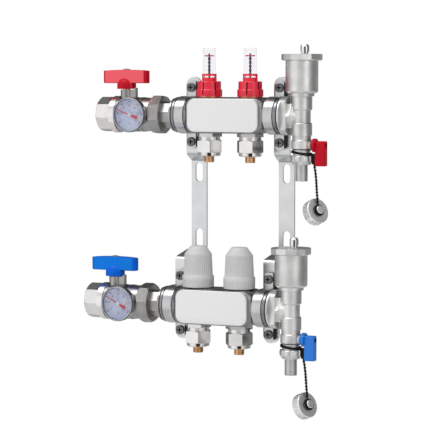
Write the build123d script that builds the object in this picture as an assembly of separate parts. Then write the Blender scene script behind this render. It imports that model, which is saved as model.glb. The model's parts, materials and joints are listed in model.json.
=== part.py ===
from build123d import *
from math import cos, radians, sin, sqrt, tan
import os

# Two-row heating manifold with two loops, hung on two wall brackets.
# Units are mm. X runs along the bars, -Y points away from the wall, +Z is up.
# The origin lies on the wall, midway between the slots of the left bracket.

# Clearances between mating pieces
RUNNING_FIT = 0.10
THREAD_FIT = 0.10
LOOSE_FIT = 0.30
SOFT_FIT = 0.30

# Rows and spacing
SUPPLY_AXIS_Z = 103.0
ROW_PITCH = 210.0
SUPPLY_REACH = 37.0
RETURN_REACH = 66.0
LOOP_COUNT = 2
LOOP_PITCH = 50.0
LOOP_MARGIN = 29.0

# Bars
BAR_DEPTH = 41.0
BAR_HEIGHT = 40.0
BAR_WALL = 2.0
BAR_CORNER_RADIUS = 7.5
BAR_EDGE_RADIUS = 3.0
BAR_SHOULDER_RADIUS = 20.6
BAR_SHOULDER_LENGTH = 9.0
BAR_SHOULDER_RISE = 7.8
TUBE_RADIUS = 19.3
TUBE_OVERHANG = 9.5
BEAD_RADIUS = 20.0
BEAD_WIDTH = 3.0
PORT_RADIUS = 9.0

# Clamps
STRAP_WIDTH = 10.6
STRAP_THICKNESS = 1.5
EAR_REACH = 37.5
EAR_SETBACK = 16.0
SADDLE_WIDTH = 13.0
SADDLE_HALF_HEIGHT = 36.0
SADDLE_SKIN = 1.7
CLAMP_SCREW_OFFSET = 30.5
CLAMP_SCREW_RADIUS = 2.5
CLAMP_SCREW_TAIL = 3.5
SCREW_HEAD_RADIUS = 5.2
SCREW_HEAD_HEIGHT = 2.6
CROSS_WIDTH = 1.3
CROSS_LENGTH = 5.6
CROSS_DEPTH = 1.6

# Wall brackets
STRIP_WIDTH = 19.0
STRIP_THICKNESS = 2.5
STRIP_BEND_RADIUS = 1.6
TOP_LOBE = 42.5
TOP_PLATE_DROP = 43.5
TOP_JOG_HEIGHT = 7.5
LOWER_JOG_HEIGHT = 8.5
LOWER_PLATE_RISE = 49.0
BOTTOM_LOBE = 41.0
SLOT_WIDTH = 9.0
SLOT_LENGTH = 21.5
SLOT_SPACING = 75.0

# Seal rings
BAR_SEAL_RADIUS = 21.2
BAR_SEAL_WIDTH = 2.0
TAIL_SEAL_RADIUS = 19.6
TAIL_SEAL_WIDTH = 1.5
GASKET_RADIUS = 18.6
GASKET_WIDTH = 2.0

# Union between valve and bar
SPIGOT_LENGTH = 9.5
TAIL_SHOULDER_RADIUS = 18.6
TAIL_SHOULDER_WIDTH = 2.5
TAIL_OCTAGON = 27.6
TAIL_OCTAGON_WIDTH = 12.0
TAIL_TURN = {"supply": 32.2, "return": 29.5}
TAIL_NECK_RADIUS = 14.8
TAIL_NECK_WIDTH = 3.5
TAIL_FLANGE_RADIUS = 18.4
TAIL_FLANGE_WIDTH = 3.5
WATERWAY_RADIUS = 11.5
UNION_NUT_OCTAGON = 41.0
UNION_NUT_WIDTH = 13.2
UNION_NUT_LIP = 3.2
UNION_NUT_CHAMFER = 2.0
UNION_NUT_TURN = {"supply": 15.1, "return": 37.7}

# Ball valve
VALVE_MOUTH_TO_BALL = 30.2
BALL_TO_GASKET = 40.1
VALVE_BODY_RADIUS = 19.5
VALVE_BODY_JOINT = 6.9
VALVE_BODY_SHOULDER = 16.6
VALVE_GROOVE_RADIUS = 17.0
VALVE_GROOVE_WIDTH = 4.0
VALVE_COLLAR_WIDTH = 4.0
UNION_THREAD_RADIUS = 18.9
BALL_RADIUS = 14.5
BALL_BORE_RADIUS = 11.0
BALL_CHAMBER_RADIUS = 15.2
SEAT_RADIUS = 14.2
SEAT_OFFSET = 8.4
SEAT_WIDTH = 4.0
STEM_RADIUS = 4.0
STEM_COLLAR_RADIUS = 4.9
STEM_COLLAR_HEIGHT = 1.6
STEM_TOP = 44.0
TANG_WIDTH = 3.0
TANG_LENGTH = 8.0
TANG_DEPTH = 2.6
STEM_NECK_RADIUS = 6.8
STEM_NECK_TOP = 27.9
STOP_REACH = 12.8
STOP_WIDTH = 6.0
STOP_TOP = 30.0
STOP_TIP = 1.4
VALVE_END_OCTAGON = 37.0
VALVE_END_OCTAGON_WIDTH = 16.9
VALVE_END_TURN = {"supply": 10.5, "return": 4.5}
VALVE_END_CHAMFER = 1.5
VALVE_END_COLLAR_RADIUS = 20.8
VALVE_END_LIP = 1.5
VALVE_END_LIP_RADIUS = 17.4
PIPE_THREAD_RADIUS = 15.15
PIPE_THREAD_LENGTH = 15.8

# Valve handle
HANDLE_LENGTH = 56.5
HANDLE_WIDTH = 12.0
HANDLE_BOTTOM = 35.1
HANDLE_END_TOP = 49.2
HANDLE_TOP = 50.4
HANDLE_END_RADIUS = 2.0
HUB_RADIUS = 10.8
HUB_BOTTOM = 28.7
HUB_SHOULDER = 33.5
HUB_CROWN = 42.5

# Temperature gauge
GAUGE_OFFSET = 15.6
GAUGE_BOSS_RADIUS = 12.0
GAUGE_BOSS_FACE = 20.0
GAUGE_STEM_RADIUS = 4.0
GAUGE_STEM_LENGTH = 3.8
GAUGE_RADIUS = 19.7
GAUGE_DEPTH = 7.0
GAUGE_DIAL_RADIUS = 18.6
GAUGE_LIP_OVERLAP = 0.4
GAUGE_LIP = 1.0
GAUGE_EDGE_RADIUS = 1.2
LENS_THICKNESS = 1.0
DIAL_THICKNESS = 0.8
DIAL_BACKING = 2.4
POINTER_TIP = 16.5
POINTER_TIP_WIDTH = 0.6
POINTER_WAIST_WIDTH = 1.4
POINTER_TAIL = 10.0
POINTER_TAIL_WIDTH = 4.3
POINTER_THICKNESS = 0.4
POINTER_HUB_RADIUS = 1.8
POINTER_LEAN = {"supply": 70.0, "return": 62.0}

# End tee with its column
TEE_SPIGOT_LENGTH = 10.5
TEE_COLLAR_RADIUS = 21.5
TEE_COLLAR_WIDTH = 8.0
TEE_FLAT_WIDTH = 29.6
TEE_FLAT_START = 1.5
TEE_NECK_HEX = 26.6
TEE_NECK_WIDTH = 4.5
TEE_CONE_LENGTH = 5.0
TEE_BRANCH_RADIUS = 9.5
TEE_BRANCH_BORE = 7.8
COLUMN_OFFSET = 21.2
COLUMN_BORE = 7.5
COLUMN_THREAD_RADIUS = 8.5
COLUMN_TOP = 20.5
COLUMN_UPPER_RADIUS = 11.5
COLUMN_WAIST_TOP = 6.3
COLUMN_WAIST_RADIUS = 9.8
COLUMN_WAIST_BOTTOM = -7.6
COLUMN_LOWER_RADIUS = 11.4
COLUMN_BOTTOM = -21.4
COLUMN_THREAD_DEPTH = 10.5
COLUMN_CHAMFER = 0.9

# Air vent
VENT_SPIGOT_LENGTH = 9.5
VENT_RING_RADIUS = 13.8
VENT_RING_WIDTH = 3.4
VENT_NECK_WIDTH = 1.1
VENT_RADIUS = 17.9
VENT_HEIGHT = 35.4
VENT_CHAMFER = 1.8
VENT_WALL = 2.5
VENT_FLOOR = 3.0
VENT_BORE = 4.0
COVER_SIDES = 12
COVER_RADIUS = 22.5
COVER_TURN = {"supply": 20.0, "return": 7.0}
COVER_HEIGHT = 7.1
COVER_PLUG = 3.4
COVER_BOSS_RADIUS = 3.0
COVER_BOSS_HEIGHT = 5.5
COVER_BOSS_X = 0.5
COVER_BOSS_Y = 7.2
COVER_BLEED = 1.0
VENT_CAP_RADIUS = 4.9
VENT_CAP_HEIGHT = 10.2
VENT_CAP_SEAT = 0.4
VENT_CAP_FOOT_RADIUS = 3.9
VENT_CAP_FOOT_HEIGHT = 2.0
VENT_CAP_TAPER = 1.4
VENT_CAP_TAPER_HEIGHT = 2.2
VENT_CAP_SLOT = 1.6
VENT_CAP_SLOT_DEPTH = 1.2
VENT_CAP_TURN = 25.0
FLOAT_RADIUS = 13.5
FLOAT_HEIGHT = 20.0

# Drain valve
DRAIN_SPIGOT_LENGTH = 10.0
DRAIN_RING_RADIUS = 10.3
DRAIN_RING_WIDTH = 4.6
DRAIN_BODY_RADIUS = 11.5
DRAIN_BODY_HEIGHT = 11.3
DRAIN_NECK_RADIUS = 9.5
DRAIN_NECK_HEIGHT = 6.2
DRAIN_THREAD_RADIUS = 8.5
DRAIN_THREAD_LENGTH = 6.5
DRAIN_BORE = 5.5
DRAIN_BALL_DROP = 32.0
DRAIN_BALL_RADIUS = 7.4
DRAIN_BALL_BORE = 5.0
DRAIN_BOSS_ROOT = 6.0
DRAIN_BOSS_TIP = 3.9
DRAIN_BOSS_REACH = 13.3
DRAIN_STEM_RADIUS = 2.5
DRAIN_STEM_REACH = 19.3
LEVER_HUB_RADIUS = 7.5
LEVER_HUB_WIDTH = 3.5
LEVER_THICKNESS = 11.5
LEVER_WIDTH = 8.7
LEVER_RISE = 4.7
LEVER_DROP = 22.7
LEVER_EDGE_RADIUS = 1.6
LEVER_SCREW_RADIUS = 3.0
LEVER_SCREW_DEPTH = 5.0
DRAIN_NUT_RADIUS = 12.5
DRAIN_NUT_HEIGHT = 9.9
DRAIN_NUT_FLOOR = 2.4
DRAIN_NUT_BOWL = 9.6
DRAIN_NUT_BOWL_HEIGHT = 4.5
DRAIN_NUT_RIBS = 8
DRAIN_NUT_FLUTE = 2.6
SPOUT_RADIUS = 6.7
SPOUT_BORE = 4.5
SPOUT_FLANGE = 1.0
SPOUT_DROP = 20.5

# Lanyard and drain cap
STRAP_RING_WIDTH = 1.6
STRAP_RING_HEIGHT = 2.4
STRAP_RING_TILT = 8.0
STRAP_TAB_THICKNESS = 1.6
STRAP_TAB_WIDTH = 6.0
STRAP_TAB_DROP = 12.4
CORD_RADIUS = 1.0
LANYARD_LOOP_RADIUS = 5.3
LANYARD_LOOP_WIRE = 1.2
CAP_RADIUS = 14.2
CAP_THICKNESS = 9.5
CAP_FACE = 2.5
CAP_RIM = 2.4
CAP_RIB_COUNT = 20
CAP_RIB_DEPTH = 0.7
CAP_RIB_GAP = 2.0
CAP_RIB_LENGTH = 6.5
CAP_BOSS_RADIUS = 3.7
CAP_BOSS_HEAD_RADIUS = 4.6
CAP_BOSS_HEAD = 1.4
CAP_LOOP_STANDOFF = 2.0
CAP_PITCH = 20.0
CAP_SWING = 5.0
CAP_REACH = 14.6
CAP_DROP = 105.0
CAP_AZIMUTH = {"supply": 28.0, "return": 22.0}

# Pipe connectors under the bars
NIPPLE_HEX = 26.0
NIPPLE_HEX_HEIGHT = 4.0
NIPPLE_TURN = 12.0
NIPPLE_TOP_THREAD = 8.9
NIPPLE_TOP_LENGTH = 10.0
NIPPLE_THREAD = 12.2
NIPPLE_THREAD_LENGTH = 14.5
NIPPLE_BORE = 6.5
PIPE_NUT_HEX = 27.0
PIPE_NUT_GAP = 3.7
PIPE_NUT_HEIGHT = 13.9
PIPE_NUT_LIP = 2.2
PIPE_NUT_MOUTH = 10.9
PIPE_NUT_CHAMFER = 1.2
PIPE_NUT_TURNS = {"supply": (-3.5, 3.0), "return": (-5.5, 7.0)}
CLAMP_RING_RADIUS = 12.5
CLAMP_RING_HEIGHT = 4.0
CLAMP_RING_SLEEVE = 10.7
CLAMP_RING_SLEEVE_HEIGHT = 4.1
CLAMP_RING_BORE = 8.2
CLAMP_RING_SPLIT = 4.0
CLAMP_RING_TURN = 25.0
CLAMP_RING_CHAMFER = 1.0
INSERT_RADIUS = 5.4
INSERT_BORE = 4.2
INSERT_FLANGE_RADIUS = 8.0
INSERT_FLANGE_HEIGHT = 1.5
INSERT_PLUG_HEIGHT = 5.5
INSERT_DROP = 52.5

# Flow meters on the supply bar
METER_BASE_RADIUS = 14.45
METER_BASE_HEIGHT = 8.0
METER_MID_RADIUS = 13.1
METER_MID_HEIGHT = 8.9
METER_TOP_RADIUS = 8.2
METER_TOP_HEIGHT = 8.3
METER_SEAT_GAP = 0.7
METER_INNER_RADIUS = 9.5
METER_GROOVES = 6
METER_GROOVE_WIDTH = 1.6
METER_GROOVE_DEPTH = 1.0
METER_GROOVE_MARGIN = 3.0
METER_GROOVE_TOP = 0.9
METER_WINDOW_RISE = 4.2
METER_WINDOW_HEIGHT = 1.7
METER_BRIDGE_WIDTH = 3.8
METER_TURNS = (25.0, 38.0)
GLASS_RADIUS = 7.05
GLASS_WALL = 1.2
GLASS_RISE = 54.2
GLASS_CAP = 1.5
GLASS_FOOT_RADIUS = 8.6
GLASS_FOOT_HEIGHT = 2.0
METER_INSERT_RADIUS = 8.9
METER_INSERT_DEPTH = 12.0
METER_INSERT_NECK = 7.2
METER_INSERT_RISE = 10.0
METER_INSERT_BORE = 5.0
METER_GUIDE_WIDTH = 4.0
METER_GUIDE_HEIGHT = 2.0
ROD_RADIUS = 1.0
ROD_DEPTH = 5.0
ROD_RISE = 48.5
ROD_BEAD_RADIUS = 1.5
ROD_BEAD_COUNT = 5
ROD_BEAD_PITCH = 4.2
ROD_BEAD_HEIGHT = 3.0
ROD_BEAD_RISE = 44.0
DISC_RADIUS = 5.1
DISC_HEIGHT = 1.2
DISC_RISE = 45.8

# Hand caps on the return bar
HAND_SKIRT_RADIUS = 17.5
HAND_SKIRT_RISE = 13.5
HAND_GAP = 0.6
HAND_BODY_BOTTOM_RADIUS = 16.2
HAND_BODY_TOP_RADIUS = 15.15
HAND_BODY_RISE = 37.0
HAND_RISE = 46.2
HAND_TOP_RADIUS = 7.6
HAND_WALL = 1.4
HAND_ROOF_RISE = 28.0
HAND_SKIRT_FLUTES = 24
HAND_FLUTE_RADIUS = 1.0
HAND_FLUTE_OFFSET = 0.45
REGULATOR_DEPTH = 12.0
REGULATOR_COLLAR_HEIGHT = 10.0
REGULATOR_PIN_RADIUS = 1.5
REGULATOR_PIN_RISE = 25.0
REGULATOR_BORE = 5.0

# Places that follow from the sizes above
BRACKET_PITCH = 2 * LOOP_MARGIN + (LOOP_COUNT - 1) * LOOP_PITCH
LOOPS = [LOOP_MARGIN + i * LOOP_PITCH for i in range(LOOP_COUNT)]
BRACKETS = (0.0, BRACKET_PITCH)
BAR_START = STRAP_WIDTH / 2 + LOOSE_FIT
BAR_END = BRACKET_PITCH - BAR_START
TUBE_START = -TUBE_OVERHANG
TUBE_END = BRACKET_PITCH + TUBE_OVERHANG
TUBE_BORE = TUBE_RADIUS - BAR_WALL
SPIGOT_RADIUS = TUBE_BORE - RUNNING_FIT
STRAP_INNER = TUBE_RADIUS + RUNNING_FIT
STRAP_OUTER = STRAP_INNER + STRAP_THICKNESS
SADDLE_BACK = TUBE_RADIUS + SADDLE_SKIN
PLATE_BACK = SADDLE_BACK + STRIP_THICKNESS
AXES = {
    "supply": (-SUPPLY_REACH, SUPPLY_AXIS_Z),
    "return": (-RETURN_REACH, SUPPLY_AXIS_Z - ROW_PITCH),
}
TAIL_SHOULDER_START = TUBE_START - TAIL_SEAL_WIDTH - TAIL_SHOULDER_WIDTH
TAIL_OCTAGON_START = TAIL_SHOULDER_START - TAIL_OCTAGON_WIDTH
TAIL_FACE = TAIL_OCTAGON_START - TAIL_NECK_WIDTH - TAIL_FLANGE_WIDTH
GASKET_START = TAIL_FACE - GASKET_WIDTH
BALL_X = GASKET_START - BALL_TO_GASKET
BODY_JOINT = BALL_X - VALVE_BODY_JOINT
VALVE_MOUTH = BALL_X - VALVE_MOUTH_TO_BALL
GAUGE_X = BALL_X + GAUGE_OFFSET
DIAL_BACK = -GAUGE_BOSS_FACE - DIAL_BACKING
TEE_FACE = TUBE_END + BAR_SEAL_WIDTH
COLUMN_X = TEE_FACE + COLUMN_OFFSET
VENT_BASE = COLUMN_TOP + VENT_NECK_WIDTH
VENT_BOTTOM = VENT_BASE + VENT_RING_WIDTH
VENT_TOP = VENT_BOTTOM + VENT_HEIGHT
COVER_TOP = VENT_TOP + COVER_HEIGHT
DRAIN_RING_BOTTOM = COLUMN_BOTTOM - DRAIN_RING_WIDTH
DRAIN_BODY_BOTTOM = DRAIN_RING_BOTTOM - DRAIN_BODY_HEIGHT
DRAIN_NECK_BOTTOM = DRAIN_BODY_BOTTOM - DRAIN_NECK_HEIGHT
DRAIN_THREAD_BOTTOM = DRAIN_NECK_BOTTOM - DRAIN_THREAD_LENGTH
LEVER_START = COLUMN_X + DRAIN_BOSS_REACH + 0.5
# What stands on a bar stands on its block or on the tube through it, whichever is higher.
BAR_TOP = max(BAR_HEIGHT / 2, TUBE_RADIUS)
METER_INSERT_TOP = BAR_TOP + METER_INSERT_RISE
GLASS_TOP = BAR_TOP + GLASS_RISE
ROD_BOTTOM = BAR_TOP - ROD_DEPTH
ROD_TOP = BAR_TOP + ROD_RISE
ROD_BEAD_TOP = BAR_TOP + ROD_BEAD_RISE
DISC_CENTRE = BAR_TOP + DISC_RISE
HAND_BOTTOM = BAR_TOP + HAND_GAP
HAND_SKIRT_TOP = BAR_TOP + HAND_SKIRT_RISE
HAND_BODY_TOP = BAR_TOP + HAND_BODY_RISE
HAND_TOP = BAR_TOP + HAND_RISE
HAND_ROOF = BAR_TOP + HAND_ROOF_RISE
REGULATOR_PIN_TOP = BAR_TOP + REGULATOR_PIN_RISE


# Solid helpers
def turned_x(profile):
    """Solid of revolution about X from (x, radius) points."""
    points = [(x, 0, r) for x, r in profile]
    return revolve(make_face(Polyline(*points, close=True)), Axis.X)


def turned_z(profile):
    """Solid of revolution about Z from (radius, z) points."""
    points = [(r, 0, z) for r, z in profile]
    return revolve(make_face(Polyline(*points, close=True)), Axis.Z)


def turned_y(profile):
    """Solid of revolution about Y from (radius, y) points."""
    points = [(r, y, 0) for r, y in profile]
    return revolve(make_face(Polyline(*points, close=True)), Axis.Y)


def rod_x(radius, start, end):
    """Cylinder along X between two x values."""
    return Pos((start + end) / 2, 0, 0) * Rot(0, 90, 0) * Cylinder(radius, end - start)


def rod_y(radius, start, end):
    """Cylinder along Y between two y values."""
    return Pos(0, (start + end) / 2, 0) * Rot(90, 0, 0) * Cylinder(radius, end - start)


def rod_z(radius, start, end):
    """Cylinder along Z between two z values."""
    return Pos(0, 0, (start + end) / 2) * Cylinder(radius, end - start)


def ring_x(outer, inner, start, end):
    """Flat ring along X."""
    return turned_x([(start, inner), (start, outer), (end, outer), (end, inner)])


def prism_x(across_flats, sides, start, end, turn=0.0):
    """Regular prism along X, a corner turned from +Y towards +Z."""
    plane = Plane(origin=(start, 0, 0), x_dir=(0, 1, 0), z_dir=(1, 0, 0))
    outline = RegularPolygon(across_flats / 2, sides, major_radius=False, rotation=turn)
    return extrude(plane * outline, end - start)


def prism_z(across_flats, sides, start, end, turn=0.0):
    """Regular prism along Z, a corner turned from +X towards +Y."""
    outline = RegularPolygon(across_flats / 2, sides, major_radius=False, rotation=turn)
    return Pos(0, 0, start) * extrude(outline, end - start)


def corner_of(across_flats, sides):
    """Corner radius of a regular polygon."""
    return across_flats / 2 / cos(radians(180 / sides))


def in_row(row, shape):
    """Move a shape from its bar axis to the row's place on the wall."""
    y, z = AXES[row]
    return Pos(0, y, z) * shape


def in_both(shape):
    """One copy of a shape for each row."""
    return [in_row(row, shape) for row in AXES]


def save(node, *shapes):
    """Write the solids of one node to its STEP file."""
    solids = [solid for shape in shapes for solid in shape.solids()]
    export_step(Compound(solids), f"parts/{node}.step")


# Bars and clamps
def bar():
    """Hollow bar with a tube end on each side and ports above and below."""
    length = BAR_END - BAR_START
    middle = (BAR_START + BAR_END) / 2
    outline = RectangleRounded(length, BAR_DEPTH, BAR_CORNER_RADIUS)
    body = Pos(middle, 0, -BAR_HEIGHT / 2) * extrude(outline, BAR_HEIGHT)
    rims = body.faces().sort_by(Axis.Z)
    body = fillet(rims[0].edges() + rims[-1].edges(), BAR_EDGE_RADIUS)
    wide = BAR_SHOULDER_RADIUS + BAR_SHOULDER_RISE
    body &= turned_x([
        (BAR_START, 0),
        (BAR_START, BAR_SHOULDER_RADIUS),
        (BAR_START + BAR_SHOULDER_LENGTH, wide),
        (BAR_END - BAR_SHOULDER_LENGTH, wide),
        (BAR_END, BAR_SHOULDER_RADIUS),
        (BAR_END, 0),
    ])
    body += rod_x(TUBE_RADIUS, TUBE_START, TUBE_END)
    body += rod_x(BEAD_RADIUS, TUBE_START, TUBE_START + BEAD_WIDTH)
    body += rod_x(BEAD_RADIUS, TUBE_END - BEAD_WIDTH, TUBE_END)
    hollow_length = length - 2 * BAR_CORNER_RADIUS
    hollow = Box(hollow_length, BAR_DEPTH - 2 * BAR_WALL, BAR_HEIGHT - 2 * BAR_WALL)
    hollow = fillet(hollow.edges().filter_by(Axis.X), BAR_EDGE_RADIUS)
    body -= Pos(middle, 0, 0) * hollow
    body -= rod_x(TUBE_BORE, TUBE_START, TUBE_END)
    for x in LOOPS:
        body -= Pos(x, 0, 0) * rod_z(PORT_RADIUS, -BAR_TOP, BAR_TOP)
    return body


def clamp_strap():
    """Pressed strap over the front half of a tube end, with two ears."""
    leg = EAR_SETBACK
    half = EAR_REACH
    arch = Circle(STRAP_OUTER) & Pos(-STRAP_OUTER / 2, 0) * Rectangle(STRAP_OUTER, 2 * STRAP_OUTER)
    legs = Pos(leg / 2, 0) * Rectangle(leg, 2 * STRAP_OUTER)
    ears = Pos(leg - STRAP_THICKNESS / 2, 0) * Rectangle(STRAP_THICKNESS, 2 * half)
    inside = Circle(STRAP_INNER) + Pos(leg / 2, 0) * Rectangle(leg, 2 * STRAP_INNER)
    profile = arch + legs + ears - inside
    strap = extrude(Plane.YZ * profile, STRAP_WIDTH / 2, both=True)
    tips = strap.edges().filter_by(Axis.Y).group_by(Axis.Z)
    strap = fillet(tips[0] + tips[-1], STRAP_WIDTH / 4)
    for side in (-1, 1):
        hole = rod_y(CLAMP_SCREW_RADIUS + THREAD_FIT, 0, EAR_SETBACK)
        strap -= Pos(0, 0, side * CLAMP_SCREW_OFFSET) * hole
    return strap


def clamp_saddle():
    """Rubber block between a tube end and the bracket plate."""
    depth = SADDLE_BACK - EAR_SETBACK
    middle = (SADDLE_BACK + EAR_SETBACK) / 2
    block = Pos(0, middle, 0) * Box(SADDLE_WIDTH, depth, 2 * SADDLE_HALF_HEIGHT)
    block = fillet(block.edges().filter_by(Axis.Y), 1.5)
    relief = BAR_TOP + LOOSE_FIT
    for side in (-1, 1):
        x = side * (STRAP_WIDTH + SADDLE_WIDTH) / 2
        block -= Pos(x, middle, 0) * Box(SADDLE_WIDTH, 2 * depth, 2 * relief)
    block -= rod_x(STRAP_INNER, -SADDLE_WIDTH, SADDLE_WIDTH)
    for side in (-1, 1):
        hole = rod_y(CLAMP_SCREW_RADIUS + SOFT_FIT, EAR_SETBACK, SADDLE_BACK)
        block -= Pos(0, 0, side * CLAMP_SCREW_OFFSET) * hole
    return block


def clamp_screw():
    """Pan head screw with a cross recess, head to the front."""
    face = EAR_SETBACK - STRAP_THICKNESS
    head = rod_y(SCREW_HEAD_RADIUS, face - SCREW_HEAD_HEIGHT, face)
    head = fillet(head.edges().sort_by(Axis.Y)[0], SCREW_HEAD_HEIGHT * 0.45)
    for width, height in ((CROSS_WIDTH, CROSS_LENGTH), (CROSS_LENGTH, CROSS_WIDTH)):
        head -= Pos(0, face - SCREW_HEAD_HEIGHT, 0) * Box(width, 2 * CROSS_DEPTH, height)
    return head + rod_y(CLAMP_SCREW_RADIUS, face, PLATE_BACK + CLAMP_SCREW_TAIL)


def bracket():
    """Bent steel strip that carries both bars off the wall."""
    supply_y, supply_z = AXES["supply"]
    return_y, return_z = AXES["return"]
    supply_plate = supply_y + PLATE_BACK
    return_plate = return_y + PLATE_BACK
    top = supply_z + TOP_LOBE
    bottom = return_z - BOTTOM_LOBE
    bends = [
        (supply_plate, supply_z - TOP_PLATE_DROP),
        (0, supply_z - TOP_PLATE_DROP - TOP_JOG_HEIGHT),
        (0, return_z + LOWER_PLATE_RISE + LOWER_JOG_HEIGHT),
        (return_plate, return_z + LOWER_PLATE_RISE),
    ]
    path = [(supply_plate, top)] + bends + [(return_plate, bottom)]
    line = FilletPolyline(*path, radius=STRIP_BEND_RADIUS + STRIP_THICKNESS)
    edge = offset(line, STRIP_THICKNESS, side=Side.RIGHT, closed=True)
    strip = extrude(Plane.YZ * make_face(edge), STRIP_WIDTH / 2, both=True)
    front = Plane(origin=(0, 0, (top + bottom) / 2), x_dir=(0, 0, 1), z_dir=(0, -1, 0))
    outline = SlotOverall(top - bottom, STRIP_WIDTH)
    strip &= extrude(front * outline, 2 * RETURN_REACH, both=True)
    for _, axis_z in AXES.values():
        for side in (-1, 1):
            hole = rod_y(CLAMP_SCREW_RADIUS + THREAD_FIT, -RETURN_REACH, 0)
            strip -= Pos(0, 0, axis_z + side * CLAMP_SCREW_OFFSET) * hole
    for side in (-1, 1):
        place = Plane(origin=(0, 0, side * SLOT_SPACING / 2), x_dir=(0, 0, 1), z_dir=(0, -1, 0))
        slot = extrude(place * SlotOverall(SLOT_LENGTH, SLOT_WIDTH), STRIP_THICKNESS * 1.2, both=True)
        strip -= slot
    return strip


# Union and ball valve
def seal_set():
    """The three ring seals of one row."""
    bar_seal = ring_x(BAR_SEAL_RADIUS, SPIGOT_RADIUS + SOFT_FIT, TUBE_END, TEE_FACE)
    tail_end = TUBE_START - TAIL_SEAL_WIDTH
    tail_seal = ring_x(TAIL_SEAL_RADIUS, SPIGOT_RADIUS + SOFT_FIT, tail_end, TUBE_START)
    gasket = ring_x(GASKET_RADIUS, WATERWAY_RADIUS + 0.5, GASKET_START, TAIL_FACE)
    return [bar_seal, tail_seal, gasket]


def union_tail(turn):
    """Flanged tail that plugs into the left end of a bar."""
    tail_end = TUBE_START - TAIL_SEAL_WIDTH
    flange_end = TAIL_FACE + TAIL_FLANGE_WIDTH
    tail = rod_x(TAIL_FLANGE_RADIUS, TAIL_FACE, flange_end)
    tail += rod_x(TAIL_NECK_RADIUS, flange_end, TAIL_OCTAGON_START)
    tail += prism_x(TAIL_OCTAGON, 8, TAIL_OCTAGON_START, TAIL_SHOULDER_START, turn)
    tail += rod_x(TAIL_SHOULDER_RADIUS, TAIL_SHOULDER_START, tail_end)
    tail += rod_x(SPIGOT_RADIUS, tail_end, TUBE_START + SPIGOT_LENGTH)
    return tail - rod_x(WATERWAY_RADIUS, TAIL_FACE, TUBE_START + SPIGOT_LENGTH)


def union_nut(turn):
    """Octagon nut that draws the tail flange onto the valve."""
    lip_start = TAIL_FACE + TAIL_FLANGE_WIDTH
    end = lip_start + UNION_NUT_LIP
    start = end - UNION_NUT_WIDTH
    corner = corner_of(UNION_NUT_OCTAGON, 8)
    flat = UNION_NUT_OCTAGON / 2
    nut = prism_x(UNION_NUT_OCTAGON, 8, start, end, turn)
    nut &= turned_x([
        (start, 0),
        (start, flat),
        (start + UNION_NUT_CHAMFER, corner),
        (end - UNION_NUT_CHAMFER, corner),
        (end, flat),
        (end, 0),
    ])
    nut -= rod_x(UNION_THREAD_RADIUS + THREAD_FIT, start, lip_start)
    return nut - rod_x(TAIL_NECK_RADIUS + LOOSE_FIT, lip_start, end)


def valve_body():
    """Valve body with its stem neck, stop lug and gauge boss."""
    shoulder = BODY_JOINT + VALVE_BODY_JOINT + VALVE_BODY_SHOULDER
    collar = shoulder + VALVE_GROOVE_WIDTH
    thread = collar + VALVE_COLLAR_WIDTH
    body = rod_x(VALVE_BODY_RADIUS, BODY_JOINT, shoulder)
    body += rod_x(VALVE_GROOVE_RADIUS, shoulder, collar)
    body += rod_x(VALVE_BODY_RADIUS, collar, thread)
    body += rod_x(UNION_THREAD_RADIUS, thread, GASKET_START)
    neck = rod_z(STEM_NECK_RADIUS, 0, STEM_NECK_TOP)
    lug_height = STOP_TOP - BALL_RADIUS
    lug = Pos(STOP_REACH / 2, 0, STOP_TOP - lug_height / 2) * Box(STOP_REACH, STOP_WIDTH, lug_height)
    tip_start = STOP_REACH - STOP_TIP
    clear = Box(2 * tip_start, 2 * STOP_WIDTH, 2 * (STOP_TOP - STEM_NECK_TOP))
    lug -= Pos(0, 0, STOP_TOP) * clear
    body += Pos(BALL_X, 0, 0) * (neck + lug)
    body += Pos(GAUGE_X, 0, 0) * rod_y(GAUGE_BOSS_RADIUS, -GAUGE_BOSS_FACE, 0)
    seat_start = BALL_X + SEAT_OFFSET
    body -= rod_x(BALL_CHAMBER_RADIUS, BODY_JOINT, seat_start)
    body -= rod_x(SEAT_RADIUS + RUNNING_FIT, seat_start, seat_start + SEAT_WIDTH)
    body -= rod_x(WATERWAY_RADIUS, seat_start, GASKET_START)
    pocket_end = BODY_JOINT + VALVE_END_LIP + LOOSE_FIT
    body -= rod_x(VALVE_END_LIP_RADIUS + THREAD_FIT, BODY_JOINT, pocket_end)
    collar_bottom = BALL_RADIUS + LOOSE_FIT
    body -= Pos(BALL_X, 0, 0) * rod_z(STEM_RADIUS + RUNNING_FIT / 2, 0, STEM_NECK_TOP)
    pocket = rod_z(STEM_COLLAR_RADIUS + RUNNING_FIT, 0, collar_bottom + STEM_COLLAR_HEIGHT)
    body -= Pos(BALL_X, 0, 0) * pocket
    stem_depth = GAUGE_BOSS_FACE - GAUGE_STEM_LENGTH - 0.2
    gauge_hole = rod_y(GAUGE_STEM_RADIUS + RUNNING_FIT, -GAUGE_BOSS_FACE, -stem_depth)
    return body - Pos(GAUGE_X, 0, 0) * gauge_hole


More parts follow.
